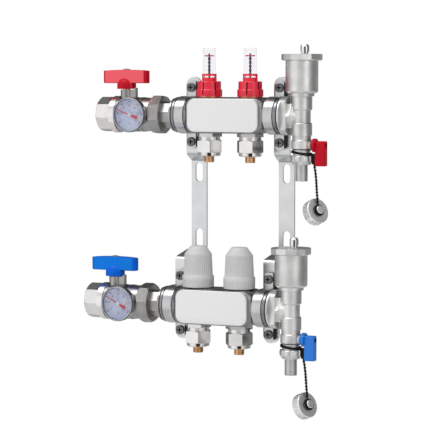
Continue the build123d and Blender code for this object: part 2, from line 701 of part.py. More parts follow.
def valve_end_piece(turn):
    """Octagonal end of the valve with the pipe thread."""
    octagon_end = VALVE_MOUTH + VALVE_END_OCTAGON_WIDTH
    corner = corner_of(VALVE_END_OCTAGON, 8)
    piece = prism_x(VALVE_END_OCTAGON, 8, VALVE_MOUTH, octagon_end, turn)
    piece &= turned_x([
        (VALVE_MOUTH, 0),
        (VALVE_MOUTH, corner - VALVE_END_CHAMFER),
        (VALVE_MOUTH + VALVE_END_CHAMFER, corner),
        (octagon_end, corner),
        (octagon_end, 0),
    ])
    piece += rod_x(VALVE_END_COLLAR_RADIUS, octagon_end, BODY_JOINT)
    piece += rod_x(VALVE_END_LIP_RADIUS, BODY_JOINT, BODY_JOINT + VALVE_END_LIP)
    seat_end = BALL_X - SEAT_OFFSET
    piece -= rod_x(PIPE_THREAD_RADIUS, VALVE_MOUTH, VALVE_MOUTH + PIPE_THREAD_LENGTH)
    piece -= rod_x(WATERWAY_RADIUS, VALVE_MOUTH, seat_end)
    piece -= rod_x(SEAT_RADIUS + RUNNING_FIT, seat_end - SEAT_WIDTH, seat_end)
    return piece - rod_x(BALL_CHAMBER_RADIUS, seat_end, BODY_JOINT + VALVE_END_LIP)


def valve_ball():
    """Bored ball with the slot that takes the stem tang."""
    ball = Sphere(BALL_RADIUS) - rod_x(BALL_BORE_RADIUS, -BALL_RADIUS, BALL_RADIUS)
    slot_width = TANG_WIDTH + 2 * RUNNING_FIT
    slot_length = TANG_LENGTH + 2 * LOOSE_FIT
    slot = Pos(0, 0, BALL_RADIUS) * Box(slot_width, slot_length, 2 * TANG_DEPTH)
    return Pos(BALL_X, 0, 0) * (ball - slot)


def valve_stem():
    """Stem that joins the ball to the handle."""
    collar_bottom = BALL_RADIUS + LOOSE_FIT
    collar_top = collar_bottom + STEM_COLLAR_HEIGHT
    stem = rod_z(STEM_RADIUS, collar_bottom, STEM_TOP)
    stem += rod_z(STEM_COLLAR_RADIUS, collar_bottom, collar_top)
    tang = Box(TANG_WIDTH, TANG_LENGTH, TANG_DEPTH)
    tang &= rod_z(STEM_COLLAR_RADIUS, -TANG_DEPTH, TANG_DEPTH)
    stem += Pos(0, 0, collar_bottom - TANG_DEPTH / 2) * tang
    return Pos(BALL_X, 0, 0) * stem


def valve_seat(side):
    """Seal ring between ball and housing, left (-1) or right (+1)."""
    cup = BALL_RADIUS + LOOSE_FIT
    face_radius = sqrt(cup**2 - SEAT_OFFSET**2)
    bore_offset = sqrt(cup**2 - WATERWAY_RADIUS**2)
    seat = turned_x([
        (side * SEAT_OFFSET, face_radius),
        (side * SEAT_OFFSET, SEAT_RADIUS),
        (side * (SEAT_OFFSET + SEAT_WIDTH), SEAT_RADIUS),
        (side * (SEAT_OFFSET + SEAT_WIDTH), WATERWAY_RADIUS),
        (side * bore_offset, WATERWAY_RADIUS),
    ])
    return Pos(BALL_X, 0, 0) * seat


def valve_handle():
    """Arched grip bar over a domed hub."""
    half = HANDLE_LENGTH / 2
    top = ThreePointArc((-half, HANDLE_END_TOP), (0, HANDLE_TOP), (half, HANDLE_END_TOP))
    rest = Polyline(
        (half, HANDLE_END_TOP),
        (half, HANDLE_BOTTOM),
        (-half, HANDLE_BOTTOM),
        (-half, HANDLE_END_TOP),
    )
    grip = extrude(Plane.XZ * make_face([*top.edges(), *rest.edges()]), HANDLE_WIDTH / 2, both=True)
    grip = fillet(grip.edges().filter_by(Axis.Z), HANDLE_WIDTH / 2 - 0.5)
    grip = fillet(grip.edges().group_by(Axis.Z)[0], HANDLE_END_RADIUS * 0.6)
    dome = Line((HUB_RADIUS, HUB_BOTTOM), (HUB_RADIUS, HUB_SHOULDER))
    crown = ThreePointArc(
        (HUB_RADIUS, HUB_SHOULDER),
        (HUB_RADIUS * 0.72, HUB_SHOULDER + (HUB_CROWN - HUB_SHOULDER) * 0.66),
        (0, HUB_CROWN),
    )
    axle = Polyline((0, HUB_CROWN), (0, HUB_BOTTOM), (HUB_RADIUS, HUB_BOTTOM))
    hub = revolve(Plane.XZ * make_face([*dome.edges(), *crown.edges(), *axle.edges()]), Axis.Z)
    handle = grip + hub
    handle -= rod_z(STEM_RADIUS + RUNNING_FIT, HUB_BOTTOM, STEM_TOP + LOOSE_FIT)
    return Pos(BALL_X, 0, 0) * handle


# Temperature gauge
def gauge_parts():
    """Case, dial and lens of one gauge."""
    back = -GAUGE_BOSS_FACE
    front = back - GAUGE_DEPTH
    lip_back = front + GAUGE_LIP
    opening = GAUGE_DIAL_RADIUS - GAUGE_LIP_OVERLAP
    case = rod_y(GAUGE_RADIUS, front, back)
    case = fillet(case.edges().sort_by(Axis.Y)[0], GAUGE_EDGE_RADIUS)
    case += rod_y(GAUGE_STEM_RADIUS, back, back + GAUGE_STEM_LENGTH)
    case -= rod_y(GAUGE_DIAL_RADIUS + RUNNING_FIT, lip_back, DIAL_BACK)
    case -= rod_y(opening, front, lip_back)
    dial = rod_y(GAUGE_DIAL_RADIUS, DIAL_BACK - DIAL_THICKNESS, DIAL_BACK)
    lens = rod_y(GAUGE_DIAL_RADIUS, lip_back, lip_back + LENS_THICKNESS)
    return [Pos(GAUGE_X, 0, 0) * shape for shape in (case, dial, lens)]


def gauge_pointer(lean):
    """Pointer with a flared tail, leaning from upright."""
    back = DIAL_BACK - DIAL_THICKNESS - LOOSE_FIT
    right = [
        (POINTER_TAIL_WIDTH / 2, -POINTER_TAIL),
        (POINTER_WAIST_WIDTH / 2, -POINTER_HUB_RADIUS),
        (POINTER_TIP_WIDTH / 2, POINTER_TIP),
    ]
    left = [(-x, z) for x, z in reversed(right)]
    blade = Plane.XZ * Rot(0, 0, lean) * make_face(Polyline(*right, *left, close=True))
    pointer = Pos(0, back - POINTER_THICKNESS, 0) * extrude(blade, POINTER_THICKNESS)
    pointer += rod_y(POINTER_HUB_RADIUS, back - 2 * POINTER_THICKNESS, back)
    return Pos(GAUGE_X, 0, 0) * pointer


# End tee, vent and drain
def end_tee():
    """Right-hand tee: wrench collar, cone and vertical column."""
    collar_end = TEE_FACE + TEE_COLLAR_WIDTH
    neck_end = collar_end + TEE_NECK_WIDTH
    cone_end = neck_end + TEE_CONE_LENGTH
    tee = rod_x(SPIGOT_RADIUS, TEE_FACE - BAR_SEAL_WIDTH - TEE_SPIGOT_LENGTH, TEE_FACE)
    collar = rod_x(TEE_COLLAR_RADIUS, TEE_FACE, collar_end)
    flat_length = TEE_COLLAR_WIDTH - TEE_FLAT_START
    flat_middle = TEE_FACE + TEE_FLAT_START + flat_length / 2
    cheek = TEE_COLLAR_RADIUS - TEE_FLAT_WIDTH / 2
    for side in (-1, 1):
        y = side * (TEE_FLAT_WIDTH / 2 + cheek / 2)
        collar -= Pos(flat_middle, y, 0) * Box(flat_length, cheek, 2 * TEE_COLLAR_RADIUS)
    tee += collar
    tee += prism_x(TEE_NECK_HEX, 6, collar_end, neck_end, 0)
    tee += turned_x([
        (neck_end, 0),
        (neck_end, TEE_NECK_HEX / 2),
        (cone_end, TEE_BRANCH_RADIUS),
        (COLUMN_X, TEE_BRANCH_RADIUS),
        (COLUMN_X, 0),
    ])
    column = turned_z([
        (0, COLUMN_BOTTOM),
        (COLUMN_LOWER_RADIUS, COLUMN_BOTTOM),
        (COLUMN_LOWER_RADIUS, COLUMN_WAIST_BOTTOM - COLUMN_CHAMFER),
        (COLUMN_LOWER_RADIUS - COLUMN_CHAMFER, COLUMN_WAIST_BOTTOM),
        (COLUMN_WAIST_RADIUS, COLUMN_WAIST_BOTTOM),
        (COLUMN_WAIST_RADIUS, COLUMN_WAIST_TOP),
        (COLUMN_UPPER_RADIUS - COLUMN_CHAMFER, COLUMN_WAIST_TOP),
        (COLUMN_UPPER_RADIUS, COLUMN_WAIST_TOP + COLUMN_CHAMFER),
        (COLUMN_UPPER_RADIUS, COLUMN_TOP),
        (0, COLUMN_TOP),
    ])
    tee += Pos(COLUMN_X, 0, 0) * column
    tee -= rod_x(TEE_BRANCH_BORE, TEE_FACE - BAR_SEAL_WIDTH - TEE_SPIGOT_LENGTH, COLUMN_X)
    bore = rod_z(COLUMN_BORE, COLUMN_BOTTOM, COLUMN_TOP)
    bore += rod_z(COLUMN_THREAD_RADIUS, COLUMN_TOP - COLUMN_THREAD_DEPTH, COLUMN_TOP)
    bore += rod_z(COLUMN_THREAD_RADIUS, COLUMN_BOTTOM, COLUMN_BOTTOM + COLUMN_THREAD_DEPTH)
    return tee - Pos(COLUMN_X, 0, 0) * bore


def vent_body():
    """Float chamber of the automatic air vent."""
    spigot = COLUMN_THREAD_RADIUS - THREAD_FIT
    floor = VENT_BOTTOM + VENT_FLOOR
    inner = VENT_RADIUS - VENT_WALL
    body = rod_z(spigot, COLUMN_TOP - VENT_SPIGOT_LENGTH, COLUMN_TOP)
    body += rod_z(COLUMN_UPPER_RADIUS, COLUMN_TOP, VENT_BASE)
    body += rod_z(VENT_RING_RADIUS, VENT_BASE, VENT_BOTTOM)
    body += turned_z([
        (0, VENT_BOTTOM),
        (VENT_RADIUS - VENT_CHAMFER, VENT_BOTTOM),
        (VENT_RADIUS, VENT_BOTTOM + VENT_CHAMFER),
        (VENT_RADIUS, VENT_TOP),
        (0, VENT_TOP),
    ])
    body -= rod_z(inner, floor, VENT_TOP)
    body -= rod_z(VENT_BORE, COLUMN_TOP - VENT_SPIGOT_LENGTH, floor)
    return Pos(COLUMN_X, 0, 0) * body


def vent_cover(turn):
    """Faceted screw cover of the vent with its offset outlet boss."""
    plug = VENT_RADIUS - VENT_WALL - THREAD_FIT
    across = 2 * COVER_RADIUS * cos(radians(180 / COVER_SIDES))
    cover = prism_z(across, COVER_SIDES, VENT_TOP, COVER_TOP, turn)
    cover &= turned_z([
        (0, VENT_TOP),
        (COVER_RADIUS - 1.6, VENT_TOP),
        (COVER_RADIUS, VENT_TOP + 1.2),
        (COVER_RADIUS, COVER_TOP - 0.5),
        (COVER_RADIUS - 1.0, COVER_TOP),
        (0, COVER_TOP),
    ])
    cover += rod_z(plug, VENT_TOP - COVER_PLUG, VENT_TOP)
    boss = rod_z(COVER_BOSS_RADIUS, COVER_TOP, COVER_TOP + COVER_BOSS_HEIGHT)
    cover += Pos(COVER_BOSS_X, COVER_BOSS_Y, 0) * boss
    bleed = rod_z(COVER_BLEED, VENT_TOP - COVER_PLUG, COVER_TOP + COVER_BOSS_HEIGHT)
    cover -= Pos(COVER_BOSS_X, COVER_BOSS_Y, 0) * bleed
    return Pos(COLUMN_X, 0, 0) * cover


def vent_cap():
    """Small slotted cap on the vent outlet."""
    bottom = COVER_TOP + VENT_CAP_SEAT
    top = bottom + VENT_CAP_HEIGHT
    cap = turned_z([
        (0, bottom),
        (VENT_CAP_FOOT_RADIUS, bottom),
        (VENT_CAP_FOOT_RADIUS, bottom + VENT_CAP_FOOT_HEIGHT),
        (VENT_CAP_RADIUS, bottom + VENT_CAP_FOOT_HEIGHT),
        (VENT_CAP_RADIUS, top - VENT_CAP_TAPER_HEIGHT),
        (VENT_CAP_RADIUS - VENT_CAP_TAPER, top),
        (0, top),
    ])
    cap -= rod_z(COVER_BOSS_RADIUS + THREAD_FIT, bottom, COVER_TOP + COVER_BOSS_HEIGHT + LOOSE_FIT)
    slot_height = VENT_CAP_HEIGHT - VENT_CAP_TAPER_HEIGHT
    for side in (-1, 1):
        slot = Box(VENT_CAP_SLOT, 2 * VENT_CAP_SLOT_DEPTH, slot_height)
        cap -= Pos(0, side * VENT_CAP_RADIUS, bottom + slot_height / 2) * slot
    return Pos(COLUMN_X + COVER_BOSS_X, COVER_BOSS_Y, 0) * Rot(0, 0, VENT_CAP_TURN) * cap


def vent_float():
    """Hollow float that rests on the vent floor."""
    bottom = VENT_BOTTOM + VENT_FLOOR
    float_body = rod_z(FLOAT_RADIUS, bottom, bottom + FLOAT_HEIGHT)
    float_body = chamfer(float_body.edges(), 1.5)
    return Pos(COLUMN_X, 0, 0) * float_body


def drain_body():
    """Cast drain valve body with its conical stem boss."""
    spigot = COLUMN_THREAD_RADIUS - THREAD_FIT
    spigot_top = COLUMN_BOTTOM + DRAIN_SPIGOT_LENGTH
    body = Rot(0, 0, 90) * turned_z([
        (0, spigot_top),
        (spigot, spigot_top),
        (spigot, COLUMN_BOTTOM),
        (DRAIN_RING_RADIUS, COLUMN_BOTTOM),
        (DRAIN_RING_RADIUS, DRAIN_RING_BOTTOM),
        (DRAIN_BODY_RADIUS, DRAIN_RING_BOTTOM - 1.2),
        (DRAIN_BODY_RADIUS, DRAIN_BODY_BOTTOM + 1.5),
        (DRAIN_NECK_RADIUS, DRAIN_BODY_BOTTOM),
        (DRAIN_NECK_RADIUS, DRAIN_NECK_BOTTOM),
        (DRAIN_THREAD_RADIUS, DRAIN_NECK_BOTTOM),
        (DRAIN_THREAD_RADIUS, DRAIN_THREAD_BOTTOM),
        (0, DRAIN_THREAD_BOTTOM),
    ])
    boss = turned_x([
        (0, 0),
        (0, DRAIN_BOSS_ROOT),
        (DRAIN_BODY_RADIUS - 1, DRAIN_BOSS_ROOT),
        (DRAIN_BOSS_REACH, DRAIN_BOSS_TIP),
        (DRAIN_BOSS_REACH, 0),
    ])
    body += Pos(0, 0, -DRAIN_BALL_DROP) * boss
    chamber = DRAIN_BALL_RADIUS + RUNNING_FIT
    rise = sqrt(chamber**2 - DRAIN_BORE**2)
    rim_top = (DRAIN_BORE, rise - DRAIN_BALL_DROP)
    rim_bottom = (DRAIN_BORE, -rise - DRAIN_BALL_DROP)
    upper = Polyline((0, spigot_top), (DRAIN_BORE, spigot_top), rim_top)
    bulge = ThreePointArc(rim_top, (chamber, -DRAIN_BALL_DROP), rim_bottom)
    foot = [(DRAIN_BORE, DRAIN_THREAD_BOTTOM), (0, DRAIN_THREAD_BOTTOM)]
    lower = Polyline(rim_bottom, *foot, (0, spigot_top))
    outline = make_face([*upper.edges(), *bulge.edges(), *lower.edges()])
    body -= revolve(Plane.XZ * outline, Axis.Z)
    stem_bore = rod_x(DRAIN_STEM_RADIUS + RUNNING_FIT, 0, DRAIN_BOSS_REACH)
    body -= Pos(0, 0, -DRAIN_BALL_DROP) * stem_bore
    return Pos(COLUMN_X, 0, 0) * body


def drain_stem():
    """Drain ball and its stem in one piece."""
    stem = Sphere(DRAIN_BALL_RADIUS) + rod_x(DRAIN_STEM_RADIUS, 0, DRAIN_STEM_REACH)
    stem -= rod_z(DRAIN_BALL_BORE, -DRAIN_BALL_RADIUS, DRAIN_BALL_RADIUS)
    return Pos(COLUMN_X, 0, -DRAIN_BALL_DROP) * stem


def drain_lever():
    """Lever of the drain valve, hanging beside the spout."""
    slab_start = LEVER_HUB_WIDTH
    slab_end = slab_start + LEVER_THICKNESS
    height = LEVER_RISE + LEVER_DROP
    middle = (LEVER_RISE - LEVER_DROP) / 2
    slab = Pos((slab_start + slab_end) / 2, 0, middle) * Box(LEVER_THICKNESS, LEVER_WIDTH, height)
    slab = fillet(slab.edges().filter_by(Axis.X), LEVER_EDGE_RADIUS)
    slab = fillet(slab.faces().sort_by(Axis.X)[-1].edges(), LEVER_EDGE_RADIUS * 0.7)
    lever = slab + rod_x(LEVER_HUB_RADIUS, 0, slab_start)
    lever -= rod_x(LEVER_SCREW_RADIUS, slab_end - LEVER_SCREW_DEPTH, slab_end)
    stem_end = COLUMN_X + DRAIN_STEM_REACH - LEVER_START
    lever -= rod_x(DRAIN_STEM_RADIUS + RUNNING_FIT, 0, stem_end + LOOSE_FIT)
    return Pos(LEVER_START, 0, -DRAIN_BALL_DROP) * lever


def drain_nut():
    """Ribbed nut that holds the spout on the drain thread."""
    top = DRAIN_NECK_BOTTOM
    bottom = top - DRAIN_NUT_HEIGHT
    nut = turned_z([
        (0, bottom),
        (DRAIN_NUT_BOWL, bottom),
        (DRAIN_NUT_RADIUS, bottom + DRAIN_NUT_BOWL_HEIGHT),
        (DRAIN_NUT_RADIUS, top - 0.8),
        (DRAIN_NUT_RADIUS - 0.8, top),
        (0, top),
    ])
    for i in range(DRAIN_NUT_RIBS):
        turn = Rot(0, 0, (i + 0.5) * 360 / DRAIN_NUT_RIBS)
        flute = Pos(DRAIN_NUT_RADIUS + DRAIN_NUT_FLUTE * 0.55, 0, 0)
        nut -= turn * flute * rod_z(DRAIN_NUT_FLUTE, bottom, top)
    nut -= rod_z(DRAIN_THREAD_RADIUS + THREAD_FIT, bottom + DRAIN_NUT_FLOOR, top)
    nut -= rod_z(SPOUT_RADIUS + RUNNING_FIT, bottom, top)
    return Pos(COLUMN_X, 0, 0) * nut


def drain_spout():
    """Outlet pipe held by its flange inside the drain nut."""
    seat = DRAIN_NECK_BOTTOM - DRAIN_NUT_HEIGHT + DRAIN_NUT_FLOOR
    bottom = DRAIN_THREAD_BOTTOM - SPOUT_FLANGE - SPOUT_DROP
    spout = rod_z(DRAIN_THREAD_RADIUS - THREAD_FIT, seat, DRAIN_THREAD_BOTTOM)
    spout += rod_z(SPOUT_RADIUS, bottom, seat)
    return Pos(COLUMN_X, 0, 0) * (spout - rod_z(SPOUT_BORE, bottom, DRAIN_THREAD_BOTTOM))


# Lanyard and drain cap
RING_CENTRE_Z = (DRAIN_BODY_BOTTOM + DRAIN_NECK_BOTTOM) / 2
RING_INNER = DRAIN_NECK_RADIUS + 0.7
RING_OUTER = RING_INNER + STRAP_RING_WIDTH
TAB_X = DRAIN_NUT_RADIUS + LOOSE_FIT
TAB_MIDDLE = TAB_X + STRAP_TAB_THICKNESS / 2
TAB_BOTTOM = RING_CENTRE_Z - STRAP_TAB_DROP
CORD_START = Vector(TAB_MIDDLE, CAP_SWING - 2.5, TAB_BOTTOM - LOOSE_FIT)
CAP_CENTRE = Vector(CAP_REACH, CAP_SWING, -CAP_DROP)


def lanyard_ring():
    """Flexible ring round the drain neck with its flat tab."""
    ring = rod_z(RING_OUTER, -STRAP_RING_HEIGHT / 2, STRAP_RING_HEIGHT / 2)
    ring -= rod_z(RING_INNER, -STRAP_RING_HEIGHT / 2, STRAP_RING_HEIGHT / 2)
    ring = Pos(0, 0, RING_CENTRE_Z) * Rot(0, STRAP_RING_TILT, 0) * ring
    drop = RING_OUTER * sin(radians(STRAP_RING_TILT))
    arm_z = RING_CENTRE_Z - drop
    arm_end = TAB_X + STRAP_TAB_THICKNESS
    arm_start = RING_OUTER - STRAP_RING_WIDTH / 2
    arm_length = arm_end - arm_start
    arm = Box(arm_length, STRAP_TAB_WIDTH * 0.7, STRAP_RING_HEIGHT * 0.8)
    ring += Pos(arm_start + arm_length / 2, 0, arm_z) * arm
    tab_top = arm_z + STRAP_RING_HEIGHT * 0.4
    tab_height = tab_top - TAB_BOTTOM
    tab = Box(STRAP_TAB_THICKNESS, STRAP_TAB_WIDTH, tab_height)
    tab = fillet(tab.edges().filter_by(Axis.X), 1.0)
    ring += Pos(TAB_MIDDLE, 0.6, tab_top - tab_height / 2) * tab
    return Pos(COLUMN_X, 0, 0) * ring


def cap_plane(row):
    """Plane on the cap face, its normal pointing out of the face."""
    azimuth = radians(CAP_AZIMUTH[row])
    pitch = radians(CAP_PITCH)
    normal = Vector(cos(pitch) * cos(azimuth), -cos(pitch) * sin(azimuth), sin(pitch))
    across = Vector(sin(azimuth), cos(azimuth), 0)
    face = CAP_CENTRE + normal * (CAP_THICKNESS / 2)
    return Plane(origin=face, x_dir=across, z_dir=normal)


def drain_cap(row):
    """Hollow knurled cap with the button that holds the lanyard loop."""
    rim = rod_z(CAP_RADIUS, -CAP_THICKNESS, 0)
    rim = fillet(rim.edges().sort_by(Axis.Z)[-1], 1.2)
    rib_angle = 360 / CAP_RIB_COUNT
    for i in range(CAP_RIB_COUNT):
        notch = Box(2 * CAP_RIB_DEPTH, CAP_RIB_GAP, CAP_RIB_LENGTH)
        rim -= Rot(0, 0, i * rib_angle) * Pos(CAP_RADIUS, 0, -CAP_THICKNESS / 2) * notch
    cap = rim - rod_z(CAP_RADIUS - CAP_RIM, -CAP_THICKNESS, -CAP_FACE)
    button = CAP_LOOP_STANDOFF + LANYARD_LOOP_WIRE + LOOSE_FIT
    cap += rod_z(CAP_BOSS_RADIUS, 0, button)
    head = rod_z(CAP_BOSS_HEAD_RADIUS, button, button + CAP_BOSS_HEAD)
    cap += chamfer(head.edges().sort_by(Axis.Z)[-1], 0.6)
    return Pos(COLUMN_X, 0, 0) * cap_plane(row).location * cap


def loop_centre(row):
    """Centre of the lanyard loop in front of the cap face."""
    plane = cap_plane(row)
    return plane.origin + plane.z_dir * CAP_LOOP_STANDOFF


def lanyard_loop(row):
    """Loop at the end of the lanyard, round the cap's button."""
    plane = cap_plane(row)
    plane.origin = loop_centre(row)
    loop = Torus(LANYARD_LOOP_RADIUS, LANYARD_LOOP_WIRE)
    return Pos(COLUMN_X, 0, 0) * plane.location * loop


def cord_points(row):
    """Route of the lanyard cord from the tab down to the loop."""
    plane = cap_plane(row)
    up = plane.z_dir.cross(plane.x_dir)
    if up.Z < 0:
        up = -up
    end = loop_centre(row) + up * (LANYARD_LOOP_RADIUS + LANYARD_LOOP_WIRE + 0.15)
    start = CORD_START
    above = end + Vector(-1.4, 1.0, 6.0)
    below = start + Vector(1.3, 2.0, -7.5)
    return [start, below, above, end]


def cord_radii(points):
    """Bend radius at each inner point of a cord route."""
    radii = []
    for before, here, after in zip(points, points[1:], points[2:]):
        turn = radians((here - before).get_angle(after - here))
        shorter = min((here - before).length, (after - here).length)
        radii.append(0.45 * shorter / tan(turn / 2))
    return radii


def lanyard_cord(row):
    """Thin cord that carries the cap."""
    points = cord_points(row)
    radii = cord_radii(points)
    path = FilletPolyline(*points, radius=radii)
    print(row, "cord length", round(path.length, 2))
    for point, radius in zip(points, [0, *radii, 0]):
        x, y, z = in_row(row, Pos(COLUMN_X, 0, 0) * Pos(*point)).position
        print(row, "cord point", round(x, 3), round(y, 3), round(z, 3), "radius", round(radius, 1))
    section = Plane(origin=path @ 0, z_dir=path % 0) * Circle(CORD_RADIUS)
    return Pos(COLUMN_X, 0, 0) * sweep(section, path=path)


# Pipe connectors
def connector(turn):
    """Nipple, nut, split ring and pipe insert of one connector."""
    top = -BAR_TOP
    hex_bottom = top - NIPPLE_HEX_HEIGHT
    thread_bottom = hex_bottom - NIPPLE_THREAD_LENGTH
    nipple = rod_z(NIPPLE_TOP_THREAD, top, top + NIPPLE_TOP_LENGTH)
    nipple += prism_z(NIPPLE_HEX, 6, hex_bottom, top, turn + NIPPLE_TURN)
    nipple += rod_z(NIPPLE_THREAD, thread_bottom, hex_bottom)
    nipple -= rod_z(NIPPLE_BORE, thread_bottom, top + NIPPLE_TOP_LENGTH)

    nut_top = hex_bottom - PIPE_NUT_GAP
    nut_bottom = nut_top - PIPE_NUT_HEIGHT
    corner = corner_of(PIPE_NUT_HEX, 6)
    nut = prism_z(PIPE_NUT_HEX, 6, nut_bottom, nut_top, turn)
    nut &= turned_z([
        (0, nut_bottom),
        (PIPE_NUT_HEX / 2, nut_bottom),
        (corner, nut_bottom + PIPE_NUT_CHAMFER),
        (corner, nut_top - PIPE_NUT_CHAMFER),
        (PIPE_NUT_HEX / 2, nut_top),
        (0, nut_top),
    ])
    nut -= rod_z(NIPPLE_THREAD + THREAD_FIT, nut_bottom + PIPE_NUT_LIP, nut_top)
    nut -= rod_z(PIPE_NUT_MOUTH, nut_bottom, nut_top)

    ring = rod_z(CLAMP_RING_RADIUS, nut_bottom - CLAMP_RING_HEIGHT, nut_bottom)
    ring = chamfer(ring.edges().sort_by(Axis.Z)[0], CLAMP_RING_CHAMFER)
    sleeve_top = nut_bottom + PIPE_NUT_LIP
    ring += rod_z(CLAMP_RING_SLEEVE, nut_bottom, sleeve_top)
    ring -= rod_z(CLAMP_RING_BORE, nut_bottom - CLAMP_RING_HEIGHT, sleeve_top)
    split_height = sleeve_top - nut_bottom + CLAMP_RING_HEIGHT
    split = Box(CLAMP_RING_SPLIT, 2 * CLAMP_RING_RADIUS, split_height)
    split = Pos(0, -CLAMP_RING_RADIUS, sleeve_top - split_height / 2) * split
    ring -= Rot(0, 0, CLAMP_RING_TURN) * split

    flange_bottom = thread_bottom - INSERT_FLANGE_HEIGHT
    sleeve = rod_z(NIPPLE_BORE - RUNNING_FIT, thread_bottom, thread_bottom + INSERT_PLUG_HEIGHT)
    sleeve += rod_z(INSERT_FLANGE_RADIUS - LOOSE_FIT, flange_bottom, thread_bottom)
    sleeve += rod_z(INSERT_RADIUS, -INSERT_DROP, flange_bottom)
    sleeve -= rod_z(INSERT_BORE, -INSERT_DROP, thread_bottom + INSERT_PLUG_HEIGHT)
    return nipple, nut, ring, sleeve


# Flow meters
def meter_insert():
    """Valve insert in the supply bar that carries the sight glass."""
    body = rod_z(METER_INSERT_RADIUS, BAR_TOP - METER_INSERT_DEPTH, BAR_TOP)
    body += rod_z(METER_INSERT_NECK, BAR_TOP, METER_INSERT_TOP)
    body -= rod_z(METER_INSERT_BORE, BAR_TOP - METER_INSERT_DEPTH, METER_INSERT_TOP)
    guide = Box(2 * METER_INSERT_BORE + 1, METER_GUIDE_WIDTH, METER_GUIDE_HEIGHT)
    guide -= rod_z(ROD_RADIUS + RUNNING_FIT, -METER_GUIDE_HEIGHT, METER_GUIDE_HEIGHT)
    return body + Pos(0, 0, BAR_TOP) * guide


def sight_glass():
    """Clear tube with a foot flange and a closed top."""
    inner = GLASS_RADIUS - GLASS_WALL
    glass = rod_z(GLASS_RADIUS, METER_INSERT_TOP, GLASS_TOP)
    glass = fillet(glass.edges().sort_by(Axis.Z)[-1], 0.8)
    glass += rod_z(GLASS_FOOT_RADIUS, METER_INSERT_TOP, METER_INSERT_TOP + GLASS_FOOT_HEIGHT)
    return glass - rod_z(inner, METER_INSERT_TOP, GLASS_TOP - GLASS_CAP)


def meter_collar(turn):
    """Stepped setting collar round the sight glass."""
    bottom = BAR_TOP + METER_SEAT_GAP
    base_top = bottom + METER_BASE_HEIGHT
    mid_top = base_top + METER_MID_HEIGHT
    top = mid_top + METER_TOP_HEIGHT
    collar = turned_z([
        (0, bottom),
        (METER_BASE_RADIUS, bottom),
        (METER_BASE_RADIUS, base_top - 0.8),
        (METER_BASE_RADIUS - 0.6, base_top),
        (METER_MID_RADIUS, base_top),
        (METER_MID_RADIUS, mid_top - 0.8),
        (METER_MID_RADIUS - 0.8, mid_top),
        (METER_TOP_RADIUS, mid_top),
        (METER_TOP_RADIUS, top),
        (0, top),
    ])
    collar -= rod_z(METER_INNER_RADIUS, bottom, mid_top - 1.2)
    collar -= rod_z(GLASS_RADIUS + LOOSE_FIT, bottom, top)
    groove_height = METER_BASE_HEIGHT + METER_MID_HEIGHT - METER_GROOVE_MARGIN
    groove_middle = mid_top - METER_GROOVE_TOP - groove_height / 2
    groove_depth = 2 * METER_GROOVE_DEPTH + METER_BASE_RADIUS - METER_MID_RADIUS
    for i in range(METER_GROOVES):
        groove = Box(groove_depth, METER_GROOVE_WIDTH, groove_height)
        groove = Pos(METER_BASE_RADIUS - METER_GROOVE_DEPTH, 0, groove_middle) * groove
        collar -= Rot(0, 0, turn + i * 360 / METER_GROOVES) * groove
    window_z = mid_top + METER_WINDOW_RISE + METER_WINDOW_HEIGHT / 2
    window_width = METER_TOP_RADIUS - METER_BRIDGE_WIDTH / 2
    for side in (-1, 1):
        y = side * (METER_BRIDGE_WIDTH / 2 + window_width / 2)
        window = Box(2 * METER_TOP_RADIUS + 2, window_width, METER_WINDOW_HEIGHT)
        collar -= Pos(0, y, window_z) * window
    return collar


def flow_indicator():
    """Beaded indicator rod with its disc."""
    rod = rod_z(ROD_RADIUS, ROD_BOTTOM, ROD_TOP)
    for i in range(ROD_BEAD_COUNT):
        top = ROD_BEAD_TOP - i * ROD_BEAD_PITCH
        rod += rod_z(ROD_BEAD_RADIUS, top - ROD_BEAD_HEIGHT, top)
    disc = rod_z(DISC_RADIUS, DISC_CENTRE - DISC_HEIGHT / 2, DISC_CENTRE + DISC_HEIGHT / 2)
    return rod + disc


# Hand caps
def regulator_insert():
    """Return valve insert with its threaded collar and lift pin."""
    thread = HAND_BODY_TOP_RADIUS - HAND_WALL - THREAD_FIT
    seat = BAR_TOP + METER_SEAT_GAP
    body = rod_z(METER_INSERT_RADIUS, BAR_TOP - REGULATOR_DEPTH, BAR_TOP)
    body += rod_z(thread - 3.0, BAR_TOP, seat)
    body += rod_z(thread, seat, seat + REGULATOR_COLLAR_HEIGHT)
    body -= rod_z(REGULATOR_BORE, BAR_TOP - REGULATOR_DEPTH, BAR_TOP)
    return body + rod_z(REGULATOR_PIN_RADIUS, seat, REGULATOR_PIN_TOP)


